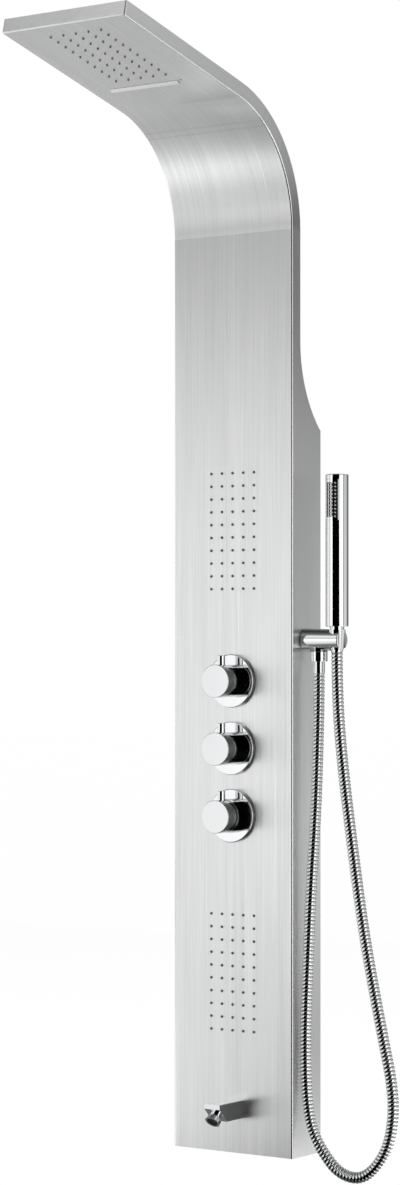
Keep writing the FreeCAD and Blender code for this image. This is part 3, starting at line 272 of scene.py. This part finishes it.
def brushed_steel(name, dark, bright, roughness, anisotropy, along=14.0, grain=900.0, crown=0.0,
                  formed=False, shaded_inside=False):
    """Sheet steel brushed along the column and round its bend.

    along and grain are how often the lines change along and across, to the metre. crown is the
    sheet's slight outward bow, as the slope of its face at its long edges. A formed sheet has
    painted shade where its bend starts, darker lines across the bend, and smoother folds. Painted
    shade can also darken the walls of the holes and the back of the front sheet.
    """
    s = Shader(name)
    x, y, z = s.place()
    out = s.math("SUBTRACT", y, BEND_CENTRE_Y)
    up = s.math("SUBTRACT", z, BEND_CENTRE_Z)
    angle = s.math("MINIMUM", s.math("MAXIMUM", s.math("ARCTAN2", up, out), 0.0), BEND_ANGLE)
    cos = s.math("COSINE", angle)
    sin = s.math("SINE", angle)
    depth = s.math("ADD", s.math("MULTIPLY", out, cos), s.math("MULTIPLY", up, sin))
    path = s.math("SUBTRACT", s.math("MULTIPLY", up, cos), s.math("MULTIPLY", out, sin))
    path = s.math("ADD", path, s.math("MULTIPLY", angle, BEND_RADIUS))
    across = s.vector(s.math("MULTIPLY", x, grain), s.math("MULTIPLY", depth, grain),
                      s.math("MULTIPLY", path, along))
    wide = s.vector(s.math("MULTIPLY", x, grain / 7), s.math("MULTIPLY", depth, grain / 7),
                    s.math("MULTIPLY", path, along / 4))
    fine = s.noise(across, 1.0, detail=3.0, roughness=0.65)
    broad = s.noise(wide, 1.0, detail=3.0, roughness=0.6)
    both = s.math("ADD", s.math("MULTIPLY", fine, FINE_SHARE),
                  s.math("MULTIPLY", broad, BROAD_SHARE))
    rough = s.between(both, roughness + ROUGH_SPREAD, roughness - ROUGH_SPREAD)
    clean = s.colour(s.between(both, 0.0, 1.0, 0.36, 0.64), dark, bright)
    painted_shade_and_lines = 0.0
    if formed:
        # painted shade where the bend starts
        painted_shade_and_lines = s.math("ADD", s.between(path, 0.0, BEND_SHADE_SHARE, *BEND_SHADE_LINE),
                        s.between(path, 0.0, BEND_SHADE_SHARE, *BEND_SHADE_FROM))
        painted_shade_and_lines = s.math("MULTIPLY", painted_shade_and_lines, s.soft_between(path, 1.0, 0.0, *BEND_SHADE_TO))
        # darker lines across the bend
        for mark in DARK_LINE_ANGLES:
            away = s.math("ABSOLUTE", s.math("SUBTRACT", angle, mark))
            painted_shade_and_lines = s.math("ADD", painted_shade_and_lines, s.between(away, DARK_LINE_SHARE, 0.0, 0.0, DARK_LINE_WIDTH))
        near_side = s.math("GREATER_THAN", s.math("ABSOLUTE", x), HALF_WIDTH - FOLD)
        near_front = s.math("LESS_THAN", s.math("SUBTRACT", depth, BEND_RADIUS), FOLD)
        fold = s.math("MULTIPLY", near_side, near_front)
        rough = s.math("SUBTRACT", rough, s.math("MULTIPLY", fold, roughness - POLISHED))
    if shaded_inside:
        # painted shade on the walls of the holes and the back of the front sheet
        inside = s.math("GREATER_THAN", s.math("SUBTRACT", depth, BEND_RADIUS), INSIDE_DEPTH)
        narrow = s.math("LESS_THAN", s.math("ABSOLUTE", x), INNER_HALF_WIDTH)
        within = s.math("MULTIPLY", narrow, s.math("LESS_THAN", path, INNER_PATH))
        inside = s.math("MULTIPLY", inside, within)
        painted_shade_and_lines = s.math("MAXIMUM", painted_shade_and_lines, s.math("MULTIPLY", inside, INSIDE_SHADE_SHARE))
    if formed or shaded_inside:
        clean = s.scaled(clean, s.math("SUBTRACT", 1.0, painted_shade_and_lines))
    bow = s.math("MULTIPLY", s.math("MULTIPLY", x, x), -crown / (2 * HALF_WIDTH * BRUSH_RELIEF))
    s.surface_set(Metallic=1.0,
                  Base_Color=clean,
                  Roughness=rough,
                  Anisotropic=anisotropy,
                  Anisotropic_Rotation=0.25,
                  Tangent=s.vector(0.0, s.math("MULTIPLY", sin, -1.0), cos),
                  Normal=s.bump(s.math("ADD", s.math("MULTIPLY", both, BRUSH_DEPTH), bow),
                                1.0, BRUSH_RELIEF))
    return s.material


def plated_steel(name, dark, bright):
    """Zinc-plated pressings: soft crystals in a dull grey."""
    s = Shader(name)
    point = s.vector(*s.place())
    crystals = s.node("TexVoronoi", {"Vector": point, "Scale": 160.0}).outputs["Distance"]
    haze = s.noise(point, 30.0, detail=4.0)
    s.surface_set(Metallic=1.0,
                  Base_Color=s.colour(s.between(crystals, 0.0, 1.0, 0.1, 0.8), dark, bright),
                  Roughness=s.between(haze, 0.34, 0.5),
                  Normal=s.bump(crystals, strength=0.08, distance=0.0005))
    return s.material


def machined(name, dark, bright, roughness=0.26):
    """Turned or milled metal with fine tool marks and a little tarnish."""
    s = Shader(name)
    point = s.vector(*s.place())
    tarnish = s.noise(point, 70.0, detail=5.0, roughness=0.65)
    marks = s.noise(point, 1400.0)
    s.surface_set(Metallic=1.0,
                  Base_Color=s.colour(tarnish, dark, bright),
                  Roughness=s.between(tarnish, roughness + 0.12, roughness),
                  Normal=s.bump(marks, strength=0.12, distance=0.0003))
    return s.material


def moulded(name, dark, bright, roughness=0.42):
    """Moulded plastic or rubber with a fine spark-eroded grain."""
    s = Shader(name)
    point = s.vector(*s.place())
    speckle = s.noise(point, 1800.0)
    cloud = s.noise(point, 25.0, detail=3.0)
    s.surface_set(Base_Color=s.colour(cloud, dark, bright),
                  Roughness=s.between(cloud, roughness + 0.06, roughness - 0.06),
                  Normal=s.bump(speckle, strength=0.25, distance=0.0002))
    return s.material


def braided(name, dark, bright):
    """Reinforced hose: a crossed braid of threads showing through the wall."""
    s = Shader(name)
    x, y, z = s.place()
    lays = [s.node("TexWave", {"Vector": s.vector(side, y, z), "Scale": 90.0, "Distortion": 0.0},
                   bands_direction="DIAGONAL").outputs["Fac"]
            for side in (x, s.math("MULTIPLY", x, -1.0))]
    threads = s.math("POWER", s.math("MAXIMUM", *lays), 6.0)
    s.surface_set(Base_Color=s.colour(threads, dark, bright),
                  Roughness=0.38,
                  Normal=s.bump(threads, strength=0.2, distance=0.0004))
    return s.material


FINISHES = {
    "brushed_steel_face": brushed_steel("brushed_steel", (0.785, 0.795, 0.793),
                                        (0.885, 0.89, 0.888), roughness=0.31, anisotropy=0.78,
                                        along=5.0, crown=0.03, formed=True, shaded_inside=True),
    "steel_sheet": brushed_steel("plain_sheet", (0.56, 0.57, 0.57), (0.66, 0.665, 0.665),
                                 roughness=0.34, anisotropy=0.4, along=60.0, grain=400.0),
    "lip_steel": brushed_steel("bright_sheet", (0.73, 0.735, 0.735), (0.79, 0.795, 0.795),
                               roughness=0.24, anisotropy=0.2, shaded_inside=True),
    "steel_bracket": plated_steel("plated_steel", (0.46, 0.47, 0.49), (0.62, 0.63, 0.65)),
    "screw_steel": machined("dark_steel", (0.28, 0.28, 0.29), (0.42, 0.42, 0.43)),
    "nozzle_rubber": moulded("nozzle_rubber", (0.11, 0.115, 0.115), (0.15, 0.155, 0.155)),
    "water_box_plastic": moulded("water_box", (0.03, 0.03, 0.032), (0.05, 0.05, 0.053)),
    "valve_brass": machined("valve_brass", (0.56, 0.40, 0.17), (0.76, 0.58, 0.29)),
    "nut_brass": machined("nut_brass", (0.62, 0.47, 0.22), (0.78, 0.62, 0.34), roughness=0.2),
    "inner_hose_plastic": braided("reinforced_hose", (0.62, 0.63, 0.62), (0.86, 0.86, 0.84)),
    "hose_chrome": chrome("hose_chrome", (0.86, 0.87, 0.88), smudge=1.6, grooved=True),
    "chrome": chrome("chrome"),
}
# the nodes that look different from the rest of their slot
NODE_FINISHES = {
    "spout_aerator": nozzle_chrome("nozzle_chrome"),
    "holder_body": holder_chrome("holder_chrome"),
    "rain_nozzle_mat": moulded("pale_rubber", (0.16, 0.165, 0.165), (0.21, 0.215, 0.215)),
}
satin = chrome("satin_chrome", (0.76, 0.77, 0.775), smudge=1.4, least_rough=0.10)
for knob in ("rain_knob", "jets_knob", "temperature_knob"):
    NODE_FINISHES[knob] = satin

# ---------------------------------------------------------------- shower hose
HOSE_RADIUS = 0.008
HOSE_VALLEY = 0.0069          # radius at the bottom of a groove
RIB_PITCH = 0.0052
HOSE_SIDES = 24
ROUTE_STEPS = 64              # of the line between two of its points
SAME_PLACE = 0.000001
# share of a rib's width, and height there as a share of the groove's depth
RIB_PROFILE = [(0.0, 0.0), (0.07, 0.15), (0.14, 0.66), (0.30, 0.93),
               (0.5, 1.0), (0.70, 0.93), (0.86, 0.66), (0.93, 0.15)]
# the route's points in millimetres: across, back from the front face, above the lower edge
HOSE_ROUTE = [
    (123, 32, 671), (123, 32, 630), (122, 31, 570), (120.5, 28, 480), (115.5, 24, 380),
    (113, 20, 280), (109.5, 18, 180), (110.5, 18, 95), (117, 20, 42), (137, 21.5, 9),
    (162, 22.5, -17), (195, 23.5, -22.5), (222, 24.5, -3), (242.5, 26, 34), (248, 27, 96),
    (225, 28, 190), (198.5, 29, 310), (179, 30, 430), (160, 31, 560), (152.5, 32, 650),
    (152.5, 32, 700.3)]
hose_points = [Vector((x / 1000, y / 1000 - PANEL_DEPTH, z / 1000 - BOLT_MIDDLE))
               for x, y, z in HOSE_ROUTE]


def smooth_line(points):
    """The points of the smooth spline that has these control points."""
    curve = bpy.data.curves.new("route", "CURVE")
    curve.dimensions = "3D"
    curve.resolution_u = ROUTE_STEPS
    spline = curve.splines.new("NURBS")
    spline.points.add(len(points) - 1)
    for knot, point in zip(spline.points, points):
        knot.co = (*point, 1)
    spline.order_u = 3
    spline.use_endpoint_u = True
    holder = bpy.data.objects.new("route", curve)
    line = [v.co.copy() for v in bpy.data.meshes.new_from_object(holder).vertices]
    bpy.data.objects.remove(holder)
    return line


class Route:
    """A line with a frame at every distance along it that doesn't twist."""

    def __init__(self, line):
        self.line = line
        self.along = [0.0]
        for a, b in zip(line, line[1:]):
            self.along.append(self.along[-1] + (b - a).length)
        self.length = self.along[-1]
        self.ahead = [(line[min(i + 1, len(line) - 1)] - line[max(i - 1, 0)]).normalized()
                      for i in range(len(line))]
        side = self.ahead[0].orthogonal().normalized()
        self.side = []
        for i, ahead in enumerate(self.ahead):
            if i:
                side = self.ahead[i - 1].rotation_difference(ahead) @ side
            self.side.append(side)
        self.last = 0

    def at(self, distance):
        """The point, the direction and the side direction at a distance along the line."""
        distance = min(max(distance, 0.0), self.length)
        i = self.last
        while i > 0 and self.along[i] > distance:
            i -= 1
        while i < len(self.along) - 2 and self.along[i + 1] < distance:
            i += 1
        self.last = i
        share = (distance - self.along[i]) / (self.along[i + 1] - self.along[i])
        return (self.line[i].lerp(self.line[i + 1], share),
                self.ahead[i].lerp(self.ahead[i + 1], share).normalized(),
                self.side[i].lerp(self.side[i + 1], share).normalized())


def ribbed_hose(name, line):
    """A tube wound from one helical rib. Its rows follow the rib, one pitch on at every turn.

    It starts a turn early and ends a turn late, and what lies beyond the line's ends is drawn in.
    """
    route = Route(line)
    ribs = math.ceil(route.length / RIB_PITCH) + 1
    rows = ribs * len(RIB_PROFILE)
    vertices = []
    crests = []
    for row in range(rows + 1):
        share, height = RIB_PROFILE[row % len(RIB_PROFILE)]
        for k in range(HOSE_SIDES):
            turn = k / HOSE_SIDES
            distance = (row // len(RIB_PROFILE) - 1 + share + turn) * RIB_PITCH
            inside = 0.0 < distance < route.length
            radius = HOSE_VALLEY + (HOSE_RADIUS - HOSE_VALLEY) * height * inside
            crests.append(height * inside)
            point, ahead, side = route.at(distance)
            other = ahead.cross(side)
            angle = 2 * math.pi * turn
            vertices.append(point + radius * (math.cos(angle) * side + math.sin(angle) * other))
    faces = []
    for row in range(rows):
        for k in range(HOSE_SIDES):
            if k + 1 < HOSE_SIDES:
                a, b = row * HOSE_SIDES + k, row * HOSE_SIDES + k + 1
            elif row + len(RIB_PROFILE) < rows:
                a, b = row * HOSE_SIDES + k, (row + len(RIB_PROFILE)) * HOSE_SIDES
            else:
                continue
            faces.append((a, b, b + HOSE_SIDES, a + HOSE_SIDES))
    mesh = bpy.data.meshes.new(name)
    mesh.from_pydata(vertices, [], faces)
    mesh.attributes.new("crest", "FLOAT", "POINT").data.foreach_set("value", crests)
    trim = bmesh.new()
    trim.from_mesh(mesh)
    bmesh.ops.remove_doubles(trim, verts=trim.verts, dist=SAME_PLACE)
    bmesh.ops.dissolve_degenerate(trim, edges=trim.edges, dist=SAME_PLACE)
    trim.to_mesh(mesh)
    trim.free()
    mesh.shade_smooth()
    hose = bpy.data.objects.new(name, mesh)
    scene.collection.objects.link(hose)
    return hose


def dress_hose():
    line = smooth_line(hose_points)
    hose = ribbed_hose("ribbed_shower_hose", line)
    hose.data.materials.append(FINISHES["hose_chrome"])
    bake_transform(hose)
    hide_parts("shower_hose")


# ---------------------------------------------------------------- hand shower's nozzle tips
TUBE_RADIUS = 0.016
TIP_REACH = 0.0013            # the flat end of each nozzle of the CAD
TIP_RADIUS = 0.00135
TIP_HEIGHT = 0.0011
TIP_ROWS = 10
TIP_COLUMNS = 4
TIP_ROW_PITCH = 0.0051
TIP_COLUMN_PITCH = math.radians(15.7)
TIP_MIDDLE = Vector((0.1525, -0.040, 0.3775))
TIP_SIDES = 14
TIP_RINGS = 5
DIMPLE_HEIGHT = 0.6           # share of the tip's height
ROW_SHADE_REACH = 0.24             # reach of the painted shade from midway between rows, as a share of the pitch
COLUMN_GAP = 0.13             # half of the plain strip between columns of painted shade, likewise
# painted shade between the nozzles of the spray face
SHADE_PATCH_COLOUR = (0.02, 0.02, 0.021)
SHADE_PATCH_ROUGH = 0.5            # added there


def dome(mesh, foot, outward):
    """A rounded cap on one nozzle, with a dimple in its middle."""
    side = Vector((0, 0, 1))
    other = outward.cross(side)
    rings = []
    for ring in range(TIP_RINGS):
        lean = math.radians(90) * ring / TIP_RINGS
        radius = TIP_RADIUS * math.cos(lean)
        centre = foot + outward * (TIP_HEIGHT * math.sin(lean))
        rings.append([mesh.verts.new(centre + radius * (math.cos(a) * side + math.sin(a) * other))
                      for a in (2 * math.pi * k / TIP_SIDES for k in range(TIP_SIDES))])
    for inner, outer in zip(rings[1:], rings):
        for k in range(TIP_SIDES):
            n = (k + 1) % TIP_SIDES
            mesh.faces.new((outer[k], inner[k], inner[n], outer[n]))
    mesh.faces.new(reversed(rings[0]))
    dimple = mesh.verts.new(foot + outward * (TIP_HEIGHT * DIMPLE_HEIGHT))
    for k in range(TIP_SIDES):
        mesh.faces.new((rings[-1][k], dimple, rings[-1][(k + 1) % TIP_SIDES]))


def spray_face_finish():
    """Plating with a small patch of painted shade between each nozzle and the next in its column.
    """
    s = Shader("spray_face")
    x, y, z = s.place()
    up = s.math("SUBTRACT", z, TIP_MIDDLE.z)
    row = s.math("FRACT", s.math("ADD", s.math("DIVIDE", up, TIP_ROW_PITCH), 0.5))
    off_middle = s.math("ABSOLUTE", s.math("SUBTRACT", row, 0.5))
    between_rows = s.math("LESS_THAN", off_middle, ROW_SHADE_REACH)
    out = s.math("SUBTRACT", TIP_MIDDLE.y, y)
    angle = s.math("ARCTAN2", s.math("SUBTRACT", x, TIP_MIDDLE.x), out)
    column = s.math("FRACT", s.math("ADD", s.math("DIVIDE", angle, TIP_COLUMN_PITCH), 0.5))
    off_middle = s.math("ABSOLUTE", s.math("SUBTRACT", column, 0.5))
    in_column = s.math("GREATER_THAN", off_middle, COLUMN_GAP)
    rows = s.math("LESS_THAN", s.math("ABSOLUTE", up), TIP_ROW_PITCH * (TIP_ROWS - 1) / 2)
    columns = s.math("LESS_THAN", s.math("ABSOLUTE", angle), TIP_COLUMN_PITCH * TIP_COLUMNS / 2)
    # painted shade between each nozzle and the next in its column
    shade_patch = s.math("MULTIPLY", s.math("MULTIPLY", between_rows, in_column),
                    s.math("MULTIPLY", rows, columns))
    smear = s.noise(s.vector(x, y, z), FINE_SMEAR, **SMEAR)
    s.surface_set(Metallic=s.math("SUBTRACT", 1.0, shade_patch),
                  Base_Color=s.colour(shade_patch, CHROME_TINT, SHADE_PATCH_COLOUR),
                  Roughness=s.math("ADD", s.between(smear, *SMALL_ROUGH),
                                   s.math("MULTIPLY", shade_patch, SHADE_PATCH_ROUGH)))
    return s.material


def make_nozzle_tips():
    tips = bmesh.new()
    for row in range(TIP_ROWS):
        rise = Vector((0, 0, (row - (TIP_ROWS - 1) / 2) * TIP_ROW_PITCH))
        for column in range(TIP_COLUMNS):
            angle = (column - (TIP_COLUMNS - 1) / 2) * TIP_COLUMN_PITCH
            outward = Vector((math.sin(angle), -math.cos(angle), 0))
            dome(tips, TIP_MIDDLE + rise + outward * (TUBE_RADIUS + TIP_REACH), outward)
    bmesh.ops.recalc_face_normals(tips, faces=tips.faces)
    mesh = bpy.data.meshes.new("spray_nozzle_tips")
    tips.to_mesh(mesh)
    tips.free()
    mesh.shade_smooth()
    mesh.materials.append(FINISHES["chrome"])
    piece = bpy.data.objects.new("spray_nozzle_tips", mesh)
    scene.collection.objects.link(piece)
    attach(piece, "handset")


# ---------------------------------------------------------------- finishes of the CAD pieces
def dress_nodes():
    for piece in frame["record"]["subparts"]:
        finish = NODE_FINISHES.get(piece["node"], FINISHES[piece["material_slot"]])
        mesh = nodes[piece["node"]].data
        mesh.materials.clear()
        mesh.materials.append(finish)


# ---------------------------------------------------------------- studio
WORLD_LIGHT = 0.62
FLOOR_GLOW = 1.15
FLOOR_OWN_GLOW = 0.72         # share of the floor that glows, where it is looked at
FLOOR_HALF_WIDTH = 30.0
CARD_DISTANCE = 6.0           # of the wall cards from the middle
CARD_FOOT = FLOOR_HEIGHT + 0.02   # lower and upper edge of the wall cards
CARD_TOP = 5.0
WALL_STEP = 1.5               # degrees between the points of a wall card, and of a level card
LEVEL_STEP = 5.0
# The cards' brightnesses were set so that the metal mirrors tones read from the
# photograph. The low card's columns are places across, and its rows are places back with their
# brightnesses. Most rows lie where the photograph's rows of such tones are mirrored, so the table
# stands for a grid of them, which report.md names as an open point. Only reflections see the cards.
LOW_CARD_COLUMNS = (-5.0, -1.6, -1.2, -0.95, -0.6, 0.0, 5.0)
LOW_CARD_ROWS = [
    (-4.8, (1.08, 1.08, 1.08, 1.06, 1.06, 1.0, 1.0)),
    (-3.6, (0.95, 1.00, 1.04, 1.04, 1.04, 1.0, 1.0)),
    (-2.6, (0.82, 0.86, 0.97, 0.99, 0.98, 0.9, 0.9)),
    (-2.0, (0.98, 0.95, 0.92, 0.92, 0.85, 0.6, 0.6)),
    (-1.6, (1.20, 1.20, 1.00, 0.90, 0.7, 0.4, 0.4)),
    (-1.3, (1.35, 1.40, 1.28, 0.98, 0.5, 0.2, 0.2)),
    (-1.0, (1.30, 1.36, 1.35, 0.90, 0.3, 0.2, 0.2)),
    (-0.7, (1.00, 1.04, 1.06, 0.70, 0.2, 0.15, 0.15)),
    (-0.35, (0.80, 0.82, 0.82, 0.55, 0.2, 0.15, 0.15)),
    (0.0, (0.66, 0.66, 0.66, 0.50, 0.2, 0.15, 0.15)),
    (0.4, (0.56, 0.56, 0.56, 0.50, 0.3, 0.2, 0.2)),
    (0.85, (0.57, 0.57, 0.57, 0.54, 0.4, 0.4, 0.4)),
    (1.7, (0.58, 0.58, 0.58, 0.56, 0.5, 0.5, 0.5)),
    (2.8, (0.58, 0.58, 0.58, 0.56, 0.5, 0.5, 0.5)),
    (3.6, (0.3, 0.3, 0.3, 0.3, 0.3, 0.3, 0.3)),
    (5.0, (0.2, 0.2, 0.2, 0.2, 0.2, 0.2, 0.2))]


def azimuth(degrees, distance, height):
    """A place round the panel: 0 is in front of it, and +90 to its right."""
    turn = math.radians(degrees)
    return Vector((distance * math.sin(turn), -distance * math.cos(turn), height))


def soft_box(name, place, aim, width, height, brightness):
    """A rectangular soft light that faces aim and looks as bright as brightness from there."""
    light = bpy.data.lights.new(name, "AREA")
    light.shape = "RECTANGLE"
    light.size = width
    light.size_y = height
    light.energy = brightness * width * height * math.pi
    box = bpy.data.objects.new(name, light)
    box.location = place
    box.rotation_euler = (aim - place).to_track_quat("-Z", "Y").to_euler()
    box.visible_camera = False
    box.visible_glossy = False
    scene.collection.objects.link(box)


def reflector(name, rows):
    """A sheet that only reflections see. Each row is its points and how bright it is at each."""
    width = len(rows[0][0])
    vertices = [point for points, _ in rows for point in points]
    faces = [(r * width + i, r * width + i + 1, (r + 1) * width + i + 1, (r + 1) * width + i)
             for r in range(len(rows) - 1) for i in range(width - 1)]
    mesh = bpy.data.meshes.new(name)
    mesh.from_pydata(vertices, [], faces)
    glow = mesh.attributes.new("glow", "FLOAT", "POINT")
    glow.data.foreach_set("value", [bright for _, brights in rows for bright in brights])
    material = bpy.data.materials.get("reflector") or bpy.data.materials.new("reflector")
    if not material.use_nodes:
        material.use_nodes = True
        tree = material.node_tree
        tree.nodes.clear()
        amount = tree.nodes.new("ShaderNodeAttribute")
        amount.attribute_name = "glow"
        emission = tree.nodes.new("ShaderNodeEmission")
        tree.links.new(amount.outputs["Fac"], emission.inputs["Strength"])
        output = tree.nodes.new("ShaderNodeOutputMaterial")
        tree.links.new(emission.outputs[0], output.inputs["Surface"])
    mesh.materials.append(material)
    card = bpy.data.objects.new(name, mesh)
    card.visible_camera = False
    card.visible_diffuse = False
    card.visible_transmission = False
    card.visible_shadow = False
    scene.collection.objects.link(card)


def at_stop(stops, place):
    """The value at a place between stops, which are pairs of place and value in rising order."""
    for (low, a), (high, b) in zip(stops, stops[1:]):
        if place <= high:
            return a + (b - a) * max(place - low, 0.0) / (high - low)
    return stops[-1][1]


def turns_between(start, end, step):
    """Even azimuths from start to end, a step or a little less apart."""
    count = math.ceil((end - start) / step)
    return [start + (end - start) * i / count for i in range(count + 1)]


def wall_card(name, start, end, stops, sideways=((0, 1.0),)):
    """A curved card that stands round the set between two azimuths.

    stops are height and brightness, and sideways are azimuth and a factor on the brightness.
    """
    turns = turns_between(start, end, WALL_STEP)
    factors = [at_stop(sideways, turn) for turn in turns]
    reflector(name, [([azimuth(turn, CARD_DISTANCE, height) for turn in turns],
                      [bright * factor for factor in factors]) for height, bright in stops])


def level_card(name, start, end, height, stops):
    """A level card between two azimuths; stops are distance from the middle, and brightness."""
    turns = turns_between(start, end, LEVEL_STEP)
    reflector(name, [([azimuth(turn, distance, height) for turn in turns], [bright] * len(turns))
                     for distance, bright in stops])


def floor_card(name, columns, rows, height):
    """A card over the floor: the places of its columns, and rows of place and brightnesses."""
    reflector(name, [([(x, y, height) for x in columns], brights) for y, brights in rows])


def seen(tree):
    """1 for rays that look at the background: from the camera, in a mirror or through glass."""
    path = tree.nodes.new("ShaderNodeLightPath")
    first = tree.nodes.new("ShaderNodeMath")
    first.operation = "MAXIMUM"
    tree.links.new(path.outputs["Is Camera Ray"], first.inputs[0])
    tree.links.new(path.outputs["Is Glossy Ray"], first.inputs[1])
    second = tree.nodes.new("ShaderNodeMath")
    second.operation = "MAXIMUM"
    tree.links.new(first.outputs[0], second.inputs[0])
    tree.links.new(path.outputs["Is Transmission Ray"], second.inputs[1])
    return second.outputs[0]


def make_world():
    world = bpy.data.worlds.new("studio")
    scene.world = world
    world.use_nodes = True
    tree = world.node_tree
    tree.nodes.clear()
    lit = tree.nodes.new("ShaderNodeBackground")
    lit.inputs["Strength"].default_value = WORLD_LIGHT
    lit.inputs["Color"].default_value = (1, 1, 1, 1)
    white = tree.nodes.new("ShaderNodeBackground")
    white.inputs["Color"].default_value = (1, 1, 1, 1)
    white.inputs["Strength"].default_value = 1.0
    mix = tree.nodes.new("ShaderNodeMixShader")
    tree.links.new(seen(tree), mix.inputs["Fac"])
    tree.links.new(lit.outputs[0], mix.inputs[1])
    tree.links.new(white.outputs[0], mix.inputs[2])
    output = tree.nodes.new("ShaderNodeOutputWorld")
    tree.links.new(mix.outputs[0], output.inputs["Surface"])


def make_floor():
    mesh = bpy.data.meshes.new("floor")
    corners = [(-1, -1), (1, -1), (1, 1), (-1, 1)]
    mesh.from_pydata([(x * FLOOR_HALF_WIDTH, y * FLOOR_HALF_WIDTH, FLOOR_HEIGHT)
                      for x, y in corners], [], [(0, 1, 2, 3)])
    floor = bpy.data.objects.new("floor", mesh)
    scene.collection.objects.link(floor)
    material = bpy.data.materials.new("floor")
    material.use_nodes = True
    tree = material.node_tree
    paint = tree.nodes["Principled BSDF"]
    paint.inputs["Base Color"].default_value = (0.9, 0.9, 0.9, 1)
    paint.inputs["Roughness"].default_value = 0.9
    glow = tree.nodes.new("ShaderNodeEmission")
    glow.inputs["Strength"].default_value = FLOOR_GLOW
    share = tree.nodes.new("ShaderNodeMath")
    share.operation = "MULTIPLY"
    share.inputs[1].default_value = FLOOR_OWN_GLOW
    tree.links.new(seen(tree), share.inputs[0])
    mix = tree.nodes.new("ShaderNodeMixShader")
    tree.links.new(share.outputs[0], mix.inputs["Fac"])
    tree.links.new(paint.outputs[0], mix.inputs[1])
    tree.links.new(glow.outputs[0], mix.inputs[2])
    tree.links.new(mix.outputs[0], tree.nodes["Material Output"].inputs["Surface"])
    mesh.materials.append(material)


def make_studio():
    middle = Vector((0, -0.1, 0.15))
    low, top, far = CARD_FOOT, CARD_TOP, CARD_DISTANCE
    make_world()
    make_floor()
    soft_box("key_box", azimuth(-52, 4.6, 1.3), middle, 3.0, 3.6, 1.7)
    wall_card("dark_room", -13, 57, [(low, 0.0), (top, 0.0)])
    wall_card("left_wall", -50, -13,
              [(low, 1.08), (-0.5, 1.13), (0.3, 1.10), (0.6, 1.07), (0.9, 1.02), (1.15, 0.92),
               (1.35, 0.67), (1.55, 0.51), (2.2, 0.53), (3.2, 0.8), (top, 1.1)],
              [(-50, 0.72), (-46, 0.70), (-40, 0.70), (-36, 0.92), (-33, 1.06),
               (-30, 1.22), (-25, 1.30), (-13, 1.2)])
    wall_card("far_left_wall", -118, -50,
              [(low, 0.6), (-0.4, 1.05), (0.6, 1.12), (1.2, 1.0), (1.8, 0.35), (top, 0.12)],
              [(-118, 1.0), (-62, 1.0), (-50, 0.72)])
    wall_card("right_white", 57, 91, [(low, 1.5), (0.7, 1.5), (1.3, 1.05), (top, 1.05)])
    wall_card("thin_grey", 91, 103, [(low, 0.45), (top, 0.45)])
    wall_card("pale_wall", 103, 138,
              [(low, 0.8), (-0.4, 0.8), (0.3, 0.75), (0.8, 0.62), (1.1, 0.30),
               (1.7, 0.1), (2.0, 0.3), (2.3, 0.6), (top, 0.8)])
    wall_card("grey_room", 138, 210,
              [(low, 0.8), (-0.5, 0.75), (-0.1, 0.50), (0.26, 0.35), (0.6, 0.40), (0.9, 0.36),
               (1.2, 0.14), (1.65, 0.04), (1.9, 0.20), (2.15, 0.62), (2.6, 0.75), (top, 0.8)],
              [(138, 1.0), (150, 1.0), (155, 0.45), (172, 0.45), (180, 1.0), (210, 1.0)])
    wall_card("dark_back", -150, -118, [(low, 0.2), (top, 0.2)])
    level_card("ceiling", -180, 180, top, [(0.01, 0.1), (3.0, 0.12), (far, 0.45)])
    level_card("dark_floor", -17, 57, low, [(0.05, 0.0), (far, 0.0)])
    level_card("white_floor", 57, 100, low, [(0.7, 1.5), (2.0, 1.3), (far, 0.9)])
    level_card("dim_floor", 100, 210, low, [(0.3, 1.5), (1.2, 1.3), (1.6, 0.65), (2.1, 0.48),
                                            (3.1, 0.40), (far, 0.45)])
    floor_card("low_card", LOW_CARD_COLUMNS, LOW_CARD_ROWS, low - 0.01)


make_camera()
dress_hose()
make_nozzle_tips()
NODE_FINISHES["handset_spray_face"] = spray_face_finish()
dress_nodes()
make_studio()
